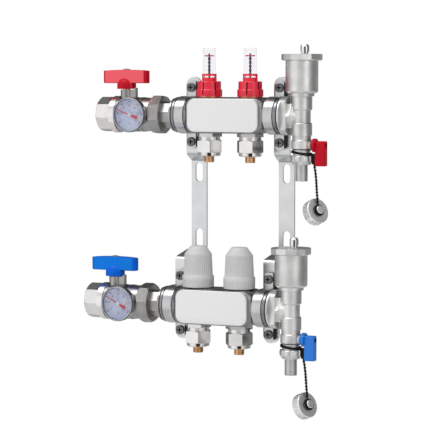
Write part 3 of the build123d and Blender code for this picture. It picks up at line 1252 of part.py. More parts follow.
def hand_cap():
    """Hollow turned cap that screws over the regulator."""
    body_line = Polyline(
        (HAND_SKIRT_RADIUS, HAND_BOTTOM),
        (HAND_SKIRT_RADIUS, HAND_SKIRT_TOP - 0.6),
        (HAND_SKIRT_RADIUS - 0.6, HAND_SKIRT_TOP),
        (HAND_BODY_BOTTOM_RADIUS, HAND_SKIRT_TOP),
        (HAND_BODY_TOP_RADIUS, HAND_BODY_TOP),
    )
    rise = HAND_TOP - HAND_BODY_TOP
    run = HAND_BODY_TOP_RADIUS - HAND_TOP_RADIUS
    shoulder = ThreePointArc(
        (HAND_BODY_TOP_RADIUS, HAND_BODY_TOP),
        (HAND_TOP_RADIUS + run * 0.64, HAND_BODY_TOP + rise * 0.64),
        (HAND_TOP_RADIUS, HAND_TOP),
    )
    inside = Polyline(
        (HAND_TOP_RADIUS, HAND_TOP),
        (0, HAND_TOP),
        (0, HAND_BOTTOM),
        (HAND_SKIRT_RADIUS, HAND_BOTTOM),
    )
    outline = make_face([*body_line.edges(), *shoulder.edges(), *inside.edges()])
    cap = revolve(Plane.XZ * outline, Axis.Z)
    bore = HAND_BODY_TOP_RADIUS - HAND_WALL
    cap -= rod_z(bore, HAND_BOTTOM, HAND_ROOF)
    for i in range(HAND_SKIRT_FLUTES):
        flute = rod_z(HAND_FLUTE_RADIUS, HAND_BOTTOM, HAND_SKIRT_TOP)
        flute = Pos(HAND_SKIRT_RADIUS + HAND_FLUTE_OFFSET, 0, 0) * flute
        cap -= Rot(0, 0, i * 360 / HAND_SKIRT_FLUTES) * flute
    return cap


# Build and save every node
os.makedirs("parts", exist_ok=True)
STATIONS = [(row, x) for row in AXES for x in BRACKETS]

strip = bracket()
save("bracket_left", strip)
save("bracket_right", Pos(BRACKET_PITCH, 0, 0) * strip)

strap = clamp_strap()
saddle = clamp_saddle()
screw = clamp_screw()
save("clamp_straps", *[in_row(row, Pos(x, 0, 0) * strap) for row, x in STATIONS])
save("clamp_saddles", *[in_row(row, Pos(x, 0, 0) * saddle) for row, x in STATIONS])
screws = []
for row, x in STATIONS:
    for side in (-1, 1):
        screws.append(in_row(row, Pos(x, 0, side * CLAMP_SCREW_OFFSET) * screw))
save("clamp_screws", *screws)

bar_solid = bar()
tee_solid = end_tee()
body_solid = valve_body()
ball_solid = valve_ball()
stem_solid = valve_stem()
handle_solid = valve_handle()
case, dial, lens = gauge_parts()
vent_cap_solid = vent_cap()
drain_stem_solid = drain_stem()
lever_solid = drain_lever()
for row in AXES:
    save(f"{row}_bar", in_row(row, bar_solid))
    save(f"{row}_end_tee", in_row(row, tee_solid))
    save(f"{row}_valve_body", in_row(row, body_solid))
    save(f"{row}_valve_ball", in_row(row, ball_solid))
    save(f"{row}_valve_stem", in_row(row, stem_solid))
    save(f"{row}_valve_handle", in_row(row, handle_solid))
    save(f"{row}_gauge_pointer", in_row(row, gauge_pointer(POINTER_LEAN[row])))
    save(f"{row}_vent_cap", in_row(row, vent_cap_solid))
    save(f"{row}_drain_stem", in_row(row, drain_stem_solid))
    save(f"{row}_drain_lever", in_row(row, lever_solid))
    save(f"{row}_drain_cap", in_row(row, drain_cap(row)))
    save(f"{row}_lanyard_loop", in_row(row, lanyard_loop(row)))
    save(f"{row}_lanyard_cord", in_row(row, lanyard_cord(row)))

save("seal_rings", *[in_row(row, seal) for row in AXES for seal in seal_set()])
save("union_tails", *[in_row(row, union_tail(TAIL_TURN[row])) for row in AXES])
save("union_nuts", *[in_row(row, union_nut(UNION_NUT_TURN[row])) for row in AXES])
save("valve_end_pieces", *[in_row(row, valve_end_piece(VALVE_END_TURN[row])) for row in AXES])
save("valve_seats", *in_both(valve_seat(-1)), *in_both(valve_seat(1)))
save("gauge_cases", *in_both(case))
save("gauge_dials", *in_both(dial))
save("gauge_lenses", *in_both(lens))
save("vent_bodies", *in_both(vent_body()))
save("vent_covers", *[in_row(row, vent_cover(COVER_TURN[row])) for row in AXES])
save("vent_floats", *in_both(vent_float()))
save("drain_bodies", *in_both(drain_body()))
save("drain_nuts", *in_both(drain_nut()))
save("drain_spouts", *in_both(drain_spout()))
save("lanyard_rings", *in_both(lanyard_ring()))

CONNECTOR_NODES = ("connector_nipples", "connector_nuts", "clamping_rings", "pipe_inserts")
connectors = {node: [] for node in CONNECTOR_NODES}
for row in AXES:
    for index, x in enumerate(LOOPS):
        turn = PIPE_NUT_TURNS[row][index % 2]
        for node, piece in zip(connectors, connector(turn)):
            connectors[node].append(in_row(row, Pos(x, 0, 0) * piece))
for node, pieces in connectors.items():
    save(node, *pieces)

meter_base = meter_insert()
glass = sight_glass()
indicator = flow_indicator()
regulator = regulator_insert()
hand = hand_cap()
save("flow_inserts", *[in_row("supply", Pos(x, 0, 0) * meter_base) for x in LOOPS])
save("sight_glasses", *[in_row("supply", Pos(x, 0, 0) * glass) for x in LOOPS])
save("return_inserts", *[in_row("return", Pos(x, 0, 0) * regulator) for x in LOOPS])
for index, x in enumerate(LOOPS):
    collar = meter_collar(METER_TURNS[index % 2])
    save(f"flow_meter_{index + 1}_collar", in_row("supply", Pos(x, 0, 0) * collar))
    save(f"flow_indicator_{index + 1}", in_row("supply", Pos(x, 0, 0) * indicator))
    save(f"hand_cap_{index + 1}", in_row("return", Pos(x, 0, 0) * hand))
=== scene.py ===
import json
import logging
import math
from collections.abc import Sequence
from dataclasses import dataclass, field, replace
from enum import Enum

import bmesh
import bpy
from mathutils import Matrix, Vector

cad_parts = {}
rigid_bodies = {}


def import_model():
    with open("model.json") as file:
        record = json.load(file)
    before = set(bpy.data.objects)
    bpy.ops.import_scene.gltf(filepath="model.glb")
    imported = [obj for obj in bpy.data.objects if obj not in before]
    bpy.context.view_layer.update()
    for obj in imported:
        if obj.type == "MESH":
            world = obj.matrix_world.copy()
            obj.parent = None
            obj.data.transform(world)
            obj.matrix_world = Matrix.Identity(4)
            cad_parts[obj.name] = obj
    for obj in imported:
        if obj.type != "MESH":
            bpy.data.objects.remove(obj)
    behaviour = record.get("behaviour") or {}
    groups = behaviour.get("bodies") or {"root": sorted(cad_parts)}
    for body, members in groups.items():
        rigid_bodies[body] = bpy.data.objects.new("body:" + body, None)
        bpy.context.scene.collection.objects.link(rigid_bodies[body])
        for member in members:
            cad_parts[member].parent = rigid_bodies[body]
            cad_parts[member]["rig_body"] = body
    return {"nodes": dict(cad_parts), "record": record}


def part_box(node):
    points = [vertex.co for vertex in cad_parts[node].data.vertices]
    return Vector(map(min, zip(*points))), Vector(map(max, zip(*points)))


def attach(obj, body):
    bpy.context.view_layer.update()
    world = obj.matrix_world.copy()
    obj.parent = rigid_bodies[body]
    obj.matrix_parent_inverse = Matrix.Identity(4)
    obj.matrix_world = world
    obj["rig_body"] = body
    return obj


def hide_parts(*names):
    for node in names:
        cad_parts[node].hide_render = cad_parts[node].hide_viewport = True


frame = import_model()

logging.basicConfig(level=logging.INFO, format="%(message)s")
log = logging.getLogger("manifold")

Socket = bpy.types.NodeSocket

MM = 0.001
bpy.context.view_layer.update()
LOOP_PLACES = ((1, 29.0), (2, 79.0))

# Sockets of Blender's colour mix node
MIX_FIRST = 6
MIX_SECOND = 7
MIX_RESULT = 2


class Row(Enum):
    """The two bars, named as their nodes are."""

    SUPPLY = "supply"
    RETURN = "return"

    @property
    def axis(self) -> Vector:
        """Returns: a point on the bar's axis at x = 0, in mm."""
        low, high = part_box(f"{self.value}_bar")
        return Vector((0.0, (low.y + high.y) / 2, (low.z + high.z) / 2)) / MM

    def at(self, x: float, y: float = 0.0, z: float = 0.0) -> Vector:
        """Returns: a point given from the bar's axis, in mm."""
        return self.axis + Vector((x, y, z))


class Side(Enum):
    """Which way the turned axis of a lathed shape points."""

    X = Matrix.Rotation(math.pi / 2, 4, "Y")
    FRONT = Matrix.Rotation(math.pi / 2, 4, "X")
    Z = Matrix.Identity(4)


class NodeGraph:
    """Small helper that adds and links shader nodes of one tree."""

    def __init__(self, tree: bpy.types.NodeTree) -> None:
        self.tree = tree
        tree.nodes.clear()

    def add(self, kind: str, **settings: object) -> bpy.types.Node:
        """Add one node.

        Args:
            kind: Blender's node type name.
            settings: node attributes by name, or input values by socket name with spaces as _.
        Returns: the new node.
        """
        node = self.tree.nodes.new(kind)
        for key, value in settings.items():
            if hasattr(node, key):
                setattr(node, key, value)
            else:
                node.inputs[key.replace("_", " ")].default_value = value
        return node

    def link(self, source: object, target: Socket) -> None:
        """Feed a socket.

        Args:
            source: socket to link from, or a plain value to set.
            target: the socket that is fed.
        """
        if isinstance(source, Socket):
            self.tree.links.new(source, target)
        else:
            target.default_value = source

    def axes(self, coordinates: str) -> bpy.types.Node:
        """Split coordinates into X, Y and Z.

        Args:
            coordinates: "Object", or "Generated" for the world.
        Returns: the node with X, Y and Z as its outputs.
        """
        place = self.add("ShaderNodeTexCoord")
        split = self.add("ShaderNodeSeparateXYZ")
        self.link(place.outputs[coordinates], split.inputs["Vector"])
        return split

    def work_out(self, operation: str, first: object, second: object = 0.0) -> Socket:
        """Add one calculation.

        Args:
            operation: Blender's name of it.
            first: socket or number.
            second: socket or number, where the operation takes two.
        Returns: the socket of the result.
        """
        node = self.add("ShaderNodeMath", operation=operation)
        self.link(first, node.inputs[0])
        self.link(second, node.inputs[1])
        return node.outputs["Value"]

    def span(self, value: Socket, source: tuple, target: tuple = (0.0, 1.0),
             shape: str = "LINEAR") -> Socket:
        """Map a value from one span to another.

        Args:
            value: what is mapped.
            source: where its span starts and ends.
            target: where the result's span starts and ends.
            shape: Blender's name of the way between the ends.
        Returns: the socket of the result.
        """
        node = self.add("ShaderNodeMapRange", interpolation_type=shape, From_Min=source[0],
                        From_Max=source[1], To_Min=target[0], To_Max=target[1])
        self.link(value, node.inputs["Value"])
        return node.outputs["Result"]

    def mix(self, share: Socket, first: object, second: object) -> Socket:
        """Mix two colours.

        Args:
            share: 0 for the first colour, 1 for the second.
            first: socket or colour.
            second: socket or colour.
        Returns: the socket of the mixed colour.
        """
        node = self.add("ShaderNodeMix", data_type="RGBA")
        self.link(share, node.inputs["Factor"])
        self.link(first, node.inputs[MIX_FIRST])
        self.link(second, node.inputs[MIX_SECOND])
        return node.outputs[MIX_RESULT]

    def ramp(self, factor: Socket, stops: list) -> Socket:
        """Add a colour ramp.

        Args:
            factor: socket that drives the ramp.
            stops: (position, colour) pairs in rising order.
        Returns: the socket of its colour.
        """
        node = self.add("ShaderNodeValToRGB")
        band = node.color_ramp
        while len(band.elements) < len(stops):
            band.elements.new(0.5)
        for element, (place, colour) in zip(band.elements, stops):
            element.position = place
            element.color = (*colour, 1.0)
        self.link(factor, node.inputs["Fac"])
        return node.outputs["Color"]

    def noise(self, scale: float, stretch: tuple = (1.0, 1.0, 1.0), detail: float = 3.0) -> Socket:
        """Add noise on object coordinates.

        Args:
            scale: features per metre.
            stretch: scale factors along X, Y and Z.
            detail: octaves of the noise.
        Returns: the socket of its level.
        """
        place = self.add("ShaderNodeTexCoord")
        mapping = self.add("ShaderNodeMapping", Scale=stretch)
        self.link(place.outputs["Object"], mapping.inputs["Vector"])
        node = self.add("ShaderNodeTexNoise", Scale=scale, Detail=detail)
        self.link(mapping.outputs["Vector"], node.inputs["Vector"])
        return node.outputs["Fac"]


@dataclass(frozen=True)
class Finish:
    """What a piece is made of.

    Attributes:
        name: name of the material.
    """

    name: str

    def material(self) -> bpy.types.Material:
        """Returns: the Blender material, made once."""
        known = bpy.data.materials.get(self.name)
        if known:
            return known
        material = bpy.data.materials.new(self.name)
        material.use_nodes = True
        graph = NodeGraph(material.node_tree)
        shader = graph.add("ShaderNodeBsdfPrincipled")
        output = graph.add("ShaderNodeOutputMaterial")
        graph.link(shader.outputs["BSDF"], output.inputs["Surface"])
        self.dress(graph, shader)
        return material

    def dress(self, graph: NodeGraph, shader: bpy.types.Node) -> None:
        """Give the shader its colour, roughness and grain."""
        raise NotImplementedError


@dataclass(frozen=True)
class Surface(Finish):
    """Opaque finish: two close tones, uneven roughness and a fine grain.

    Attributes:
        colour: main tone.
        shade: second tone of the slow tone changes.
        roughness: lowest roughness.
        spread: how much the roughness rises over the surface.
        metallic: 1 for metal.
        grain: grain features per metre.
        relief: depth of the grain in metres.
        stretch: stretch of the grain along X, Y and Z.
        gloss: specular level.
        painted_sheen: lighter tone of the flat front, a painted sheen and reflection of the lit front, where
            it differs from the rest.
        front: where that flat front lies along Y, in metres.
    """

    colour: tuple
    shade: tuple
    roughness: float
    spread: float = 0.08
    metallic: float = 1.0
    grain: float = 2500.0
    relief: float = 0.00001
    stretch: tuple = (1.0, 1.0, 1.0)
    gloss: float = 0.5
    painted_sheen: tuple = ()
    front: float = 0.0

    def dress(self, graph: NodeGraph, shader: bpy.types.Node) -> None:
        """Give the shader its tones, roughness and grain.

        Args:
            graph: the material's nodes.
            shader: its shader.
        """
        shader.inputs["Metallic"].default_value = self.metallic
        shader.inputs["Specular IOR Level"].default_value = self.gloss
        tone = graph.ramp(graph.noise(60.0, detail=2.0), [(0.35, self.shade), (0.65, self.colour)])
        # Where given, the flat front takes a lighter tone of painted sheen and reflection.
        colour = self.with_painted_sheen(graph, tone) if self.painted_sheen else tone
        graph.link(colour, shader.inputs["Base Color"])
        grain = graph.noise(self.grain, self.stretch)
        rough = graph.span(grain, (0.0, 1.0), (self.roughness, self.roughness + self.spread))
        graph.link(rough, shader.inputs["Roughness"])
        bump = graph.add("ShaderNodeBump", Distance=self.relief, Strength=1.0)
        graph.link(grain, bump.inputs["Height"])
        graph.link(bump.outputs["Normal"], shader.inputs["Normal"])

    def with_painted_sheen(self, graph: NodeGraph, tone: Socket) -> Socket:
        """Give the flat front its own lighter tone, a painted sheen and reflection.

        Args:
            graph: the material's nodes.
            tone: the tone of the rest.
        Returns: the socket of the mixed colour.
        """
        off = graph.work_out("SUBTRACT", graph.axes("Object").outputs["Y"], self.front)
        share = graph.span(graph.work_out("ABSOLUTE", off), (0.05 * MM, 0.45 * MM), shape="SMOOTHSTEP")
        return graph.mix(share, (*self.painted_sheen, 1.0), tone)


@dataclass(frozen=True)
class Clear(Finish):
    """Clear plastic with a faint tint and slightly uneven surface.

    Attributes:
        tint: colour of the light that passes.
        index: refractive index.
    """

    tint: tuple
    index: float

    def dress(self, graph: NodeGraph, shader: bpy.types.Node) -> None:
        """Give the shader its tint and its slightly uneven surface.

        Args:
            graph: the material's nodes.
            shader: its shader.
        """
        shader.inputs["IOR"].default_value = self.index
        shader.inputs["Transmission Weight"].default_value = 1.0
        slow = graph.noise(200.0, detail=2.0)
        softer = tuple(0.97 * channel for channel in self.tint)
        graph.link(graph.ramp(slow, [(0.3, softer), (0.7, self.tint)]), shader.inputs["Base Color"])
        graph.link(graph.span(slow, (0.0, 1.0), (0.01, 0.05)), shader.inputs["Roughness"])


def grey(level: float) -> tuple:
    """Returns: a neutral tone."""
    return (level, level, level)


# Metals
# Bar steel: a dark tone of painted shade on its rims, ends and tubes, and a light tone of painted reflection
# on its flat front.
STAINLESS = Surface("pressed_steel", (0.30, 0.30, 0.31), (0.25, 0.25, 0.26), 0.24, grain=1800.0,
                    relief=0.000002, stretch=(0.05, 1.0, 1.0), painted_sheen=(0.78, 0.78, 0.785))
ZINC = Surface("zinc_plated", (0.72, 0.73, 0.74), (0.66, 0.67, 0.68), 0.28, grain=1500.0,
               relief=0.000005, stretch=(1.0, 1.0, 0.06))
STRAP = Surface("strap_steel", (0.60, 0.60, 0.61), (0.53, 0.53, 0.54), 0.20, 0.06, grain=1500.0,
                relief=0.000004, stretch=(0.06, 1.0, 1.0))
BRIGHT = Surface("bright_plated", (0.82, 0.82, 0.83), (0.76, 0.76, 0.77), 0.12, 0.06, relief=0.000003)
SCREW_STEEL = Surface("screw_steel", (0.17, 0.17, 0.18), (0.12, 0.12, 0.13), 0.20, relief=0.000004)
CASE_STEEL = Surface("case_steel", (0.55, 0.55, 0.56), (0.48, 0.48, 0.49), 0.16, relief=0.000004)
POLISHED = Surface("polished_nickel", (0.84, 0.83, 0.82), (0.76, 0.75, 0.74), 0.14, 0.10, relief=0.000006)
# Darker copy of the nickel plating: painted shade for the dark reflections of union nuts, tails and valve
# bodies.
SHADED = Surface("painted_shade_nickel", (0.42, 0.41, 0.40), (0.33, 0.325, 0.32), 0.24, 0.12, grain=2200.0,
                 relief=0.000012)
SATIN = Surface("satin_nickel", (0.64, 0.64, 0.63), (0.54, 0.54, 0.53), 0.30, 0.16, grain=2600.0,
                relief=0.00003)
CAST = Surface("cast_nickel", (0.78, 0.77, 0.76), (0.50, 0.50, 0.49), 0.32, 0.18, grain=1300.0,
               relief=0.00007)
FROSTED = Surface("frosted_nickel", (0.80, 0.80, 0.79), (0.62, 0.62, 0.61), 0.28, 0.16, grain=1500.0,
                  relief=0.00006)
KNURLED = Surface("knurled_nickel", (0.94, 0.94, 0.93), (0.84, 0.84, 0.83), 0.36, 0.16, grain=900.0,
                  relief=0.0001)
BRASS = Surface("turned_brass", (0.76, 0.56, 0.26), (0.66, 0.46, 0.20), 0.24, relief=0.000006)
COPPER = Surface("copper_gold", (0.78, 0.46, 0.24), (0.56, 0.30, 0.14), 0.20, relief=0.000008)

# Rubber and plastics
RUBBER = Surface("black_rubber", grey(0.010), grey(0.016), 0.55, 0.2, 0.0, relief=0.00002, gloss=0.05)
SOFT_BLACK = Surface("soft_black_plastic", grey(0.008), grey(0.014), 0.42, 0.15, 0.0, gloss=0.1)
RED = Surface("red_plastic", (0.84, 0.0, 0.010), (0.74, 0.0, 0.008), 0.34, 0.10, 0.0, gloss=0.05)
DEEP_RED = Surface("deep_red_plastic", (0.55, 0.0, 0.016), (0.48, 0.0, 0.012), 0.30, 0.10, 0.0, gloss=0.16)
BLUE = Surface("blue_plastic", (0.0, 0.125, 0.68), (0.0, 0.10, 0.60), 0.30, 0.10, 0.0, gloss=0.12)
LIGHT = Surface("light_grey_plastic", grey(0.62), grey(0.57), 0.45, 0.1, 0.0)
DARK = Surface("dark_plastic", (0.020, 0.006, 0.035), (0.012, 0.004, 0.022), 0.30, 0.1, 0.0,
               relief=0.000004, gloss=0.3)
SEAL = Surface("white_seal", (0.80, 0.80, 0.78), (0.74, 0.74, 0.72), 0.35, 0.1, 0.0, relief=0.000004)
CLEAR = Clear("clear_plastic", (0.97, 0.96, 0.985), 1.30)
LENS = Clear("clear_lens", (0.97, 0.98, 1.0), 1.35)

# Paint, ink and the studio floor
DIAL = Surface("dial_paint", (0.56, 0.64, 0.86), (0.76, 0.82, 0.96), 0.40, 0.1, 0.0, relief=0.000002)
INK_RED = Surface("red_ink", (0.62, 0.03, 0.10), (0.52, 0.03, 0.08), 0.45, 0.1, 0.0, relief=0.000002)
INK_BLUE = Surface("blue_ink", (0.030, 0.045, 0.16), (0.022, 0.035, 0.13), 0.45, 0.1, 0.0, relief=0.000002)
INK_GREY = Surface("grey_ink", (0.36, 0.26, 0.36), (0.28, 0.20, 0.30), 0.45, 0.1, 0.0, relief=0.000002)
DISC_RED = Surface("red_disc", (0.75, 0.05, 0.14), (0.62, 0.03, 0.10), 0.35, 0.1, 0.0, relief=0.000002)
FLOOR = Surface("studio_floor", grey(0.86), grey(0.84), 0.8, 0.1, 0.0, grain=300.0, relief=0.00002)

SLOT_FINISH = {
    "zinc_steel": ZINC,
    "bright_steel": BRIGHT,
    "stainless": STAINLESS,
    "nickel": SATIN,
    "brass": BRASS,
    "black_rubber": RUBBER,
    "soft_black": SOFT_BLACK,
    "red_plastic": RED,
    "blue_plastic": BLUE,
    "light_plastic": LIGHT,
    "dark_plastic": DARK,
    "white_seal": SEAL,
    "dial_face": DIAL,
    "clear": CLEAR,
}

NODE_FINISH = {
    # Union nuts, tails and valve bodies take the darker nickel of painted shade.
    **dict.fromkeys(("union_nuts", "union_tails", "supply_valve_body", "return_valve_body"), SHADED),
    **dict.fromkeys(("valve_end_pieces", "connector_nuts", "connector_nipples", "clamping_rings"), POLISHED),
    **dict.fromkeys(("supply_vent_cap", "return_vent_cap"), BRIGHT),
    **dict.fromkeys(("supply_end_tee", "return_end_tee"), FROSTED),
    **dict.fromkeys(("vent_bodies", "vent_covers", "drain_nuts"), FROSTED),
    **dict.fromkeys(("supply_drain_cap", "return_drain_cap"), KNURLED),
    "clamp_screws": SCREW_STEEL,
    "clamp_straps": STRAP,
    "gauge_cases": CASE_STEEL,
    "gauge_lenses": LENS,
    "drain_bodies": CAST,
    "supply_drain_lever": DEEP_RED,
    "pipe_inserts": COPPER,
}

NODE_EDGE = {
    "union_nuts": 0.5,
    "valve_end_pieces": 0.5,
    "connector_nuts": 0.4,
    "vent_covers": 0.4,
}


class Shape:
    """One mesh in the making, with all lengths given in mm."""

    def __init__(self) -> None:
        self.bm = bmesh.new()

    def lathe(self, profile: Sequence, place: Vector, side: Side = Side.Z, steps: int = 72) -> list:
        """Spin a closed outline round its axis.

        Args:
            profile: (radius, height) points along the outline.
            place: where the axis starts.
            side: which way the axis points.
            steps: faces round the axis.
        Returns: the new vertices.
        """
        before = set(self.bm.verts)
        points = [self.bm.verts.new((r, 0.0, h)) for r, h in profile]
        edges = [self.bm.edges.new(pair) for pair in zip(points, points[1:])]
        bmesh.ops.spin(self.bm, geom=points + edges, cent=(0, 0, 0), axis=(0, 0, 1),
                       angle=2 * math.pi, steps=steps, use_merge=True, use_duplicate=False)
        made = [v for v in self.bm.verts if v not in before]
        bmesh.ops.remove_doubles(self.bm, verts=made, dist=0.0005)
        made = [v for v in self.bm.verts if v not in before]
        self.move(made, Matrix.Translation(place) @ side.value)
        return made

    def ring(self, radii: tuple, heights: tuple, place: Vector) -> None:
        """Turn an upright ring with square edges.

        Args:
            radii: inner and outer radius.
            heights: lower and upper end.
            place: where its axis starts.
        """
        (inner, outer), (low, high) = radii, heights
        self.lathe([(inner, low), (outer, low), (outer, high), (inner, high), (inner, low)], place)

    def block(self, size: tuple, place: Matrix, round_edge: float = 0.0) -> None:
        """Add a box with rounded edges.

        Args:
            size: edge lengths along its own X, Y and Z.
            place: where its centre goes and how it is turned.
            round_edge: width of the rounding.
        """
        cube = bmesh.ops.create_cube(self.bm, size=1.0, matrix=Matrix.Diagonal((*size, 1.0)))["verts"]
        if round_edge:
            edges = list({e for v in cube for e in v.link_edges})
            made = bmesh.ops.bevel(self.bm, geom=edges, offset=round_edge, offset_type="OFFSET",
                                   affect="EDGES", segments=2, profile=0.5, material=-1)
            cube = list({v for f in made["faces"] for v in f.verts} | {v for v in cube if v.is_valid})
        self.move(cube, place)

    def words(self, text: str, height: float, place: Matrix) -> None:
        """Add raised figures.

        Args:
            text: what they say.
            height: letter height.
            place: middle of the text, which faces its own +Z.
        """
        curve = bpy.data.curves.new("figures", "FONT")
        curve.body = text
        curve.size = height * 1.4
        curve.align_x = "CENTER"
        curve.align_y = "CENTER"
        curve.extrude = 0.03
        curve.offset = 0.02
        before = set(self.bm.verts)
        mesh = mesh_of(curve)
        self.bm.from_mesh(mesh)
        self.move([v for v in self.bm.verts if v not in before], place)
        bpy.data.meshes.remove(mesh)

    @staticmethod
    def move(verts: list, matrix: Matrix) -> None:
        """Move vertices by a matrix."""
        for vert in verts:
            vert.co = matrix @ vert.co

    def piece(self, name: str, body: str, slot: str, finish: Finish, replaced: tuple = (),
              sharp: float = 32.0) -> bpy.types.Object:
        """Turn the shape into a piece of the object.

        Args:
            name: name of the piece.
            body: CAD body it moves with.
            slot: material slot of the record; not used.
            finish: what it is made of.
            replaced: CAD nodes that it stands for.
            sharp: edges sharper than this many degrees stay crisp.
        Returns: the new object.
        """
        self.move(self.bm.verts, Matrix.Scale(MM, 4))
        bmesh.ops.recalc_face_normals(self.bm, faces=self.bm.faces)
        piece = object_from(self.bm, name, sharp)
        piece.data.materials.append(finish.material())
        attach(piece, body)
        if replaced:
            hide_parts(*replaced)
        log.info("piece %s on %s, %d faces", name, body, len(piece.data.polygons))
        return piece


def round_axis(axis: Vector, angle: float, radius: float, height: float) -> Matrix:
    """Place something round an upright axis.

    Args:
        axis: a point on the axis.
        angle: its direction in degrees from +X.
        radius: its distance from the axis.
        height: its height above the point.
    Returns: a matrix whose +X faces outward.
    """
    turn = Matrix.Rotation(math.radians(angle), 4, "Z")
    return Matrix.Translation(axis + Vector((0, 0, height))) @ turn @ Matrix.Translation((radius, 0, 0))


def mesh_of(curve: bpy.types.Curve) -> bpy.types.Mesh:
    """Turn a curve or text into a plain mesh.

    Args:
        curve: the curve data, which is removed.
    Returns: the mesh.
    """
    carrier = bpy.data.objects.new("carrier", curve)
    bpy.context.scene.collection.objects.link(carrier)
    bpy.context.view_layer.update()
    depsgraph = bpy.context.evaluated_depsgraph_get()
    mesh = bpy.data.meshes.new_from_object(carrier.evaluated_get(depsgraph))
    bpy.data.objects.remove(carrier)
    bpy.data.curves.remove(curve)
    return mesh


def object_from(bm: bmesh.types.BMesh, name: str, sharp: float) -> bpy.types.Object:
    """Make a smooth shaded object with crisp edges.

    Args:
        bm: the mesh, in metres, which is freed.
        name: name of the object.
        sharp: edges sharper than this many degrees stay crisp.
    Returns: the object.
    """
    limit = math.radians(sharp)
    for face in bm.faces:
        face.smooth = True
    for edge in bm.edges:
        edge.smooth = len(edge.link_faces) == 2 and edge.calc_face_angle(0.0) < limit
    mesh = bpy.data.meshes.new(name)
    bm.to_mesh(mesh)
    bm.free()
    thing = bpy.data.objects.new(name, mesh)
    bpy.context.scene.collection.objects.link(thing)
    return thing


@dataclass
class Casting:
    """A CAD node with softened edges and its finish.

    Attributes:
        node: name of the CAD node.
        slot: material slot of the record.
        edge: width of the softened edges in mm.
        crisp: edges sharper than this many degrees are softened and stay crisp.
        finish: what it is made of, where the node and the slot don't say it.
    """

    node: str
    slot: str
    edge: float = 0.25
    crisp: float = 27.0
    finish: Finish | None = None

    def build(self) -> None:
        """Copy the node, merge its triangles, soften its edges and give it its finish."""
        source = frame["nodes"][self.node]
        bm = bmesh.new()
        bm.from_mesh(source.data)
        bmesh.ops.remove_doubles(bm, verts=bm.verts, dist=0.002 * MM)
        bmesh.ops.dissolve_limit(bm, angle_limit=math.radians(0.3), verts=bm.verts, edges=bm.edges)
        self.soften(bm)
        piece = object_from(bm, f"{self.node}_look", self.crisp)
        weights = piece.modifiers.new("weights", "WEIGHTED_NORMAL")
        weights.keep_sharp = True
        finish = self.finish or NODE_FINISH.get(self.node, SLOT_FINISH[self.slot])
        piece.data.materials.append(finish.material())
        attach(piece, source["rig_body"])
        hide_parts(self.node)
        log.info("casting %s, %d faces", self.node, len(piece.data.polygons))

    def soften(self, bm: bmesh.types.BMesh) -> None:
        """Round the sharp edges a little.

        Args:
            bm: the merged mesh, in metres.
        """
        limit = math.radians(self.crisp)
        sharp = [e for e in bm.edges if len(e.link_faces) == 2 and e.calc_face_angle(0.0) > limit]
        if sharp:
            bmesh.ops.bevel(bm, geom=sharp, offset=self.edge * MM, offset_type="OFFSET", affect="EDGES",
                            segments=2, profile=0.5, clamp_overlap=True, material=-1)


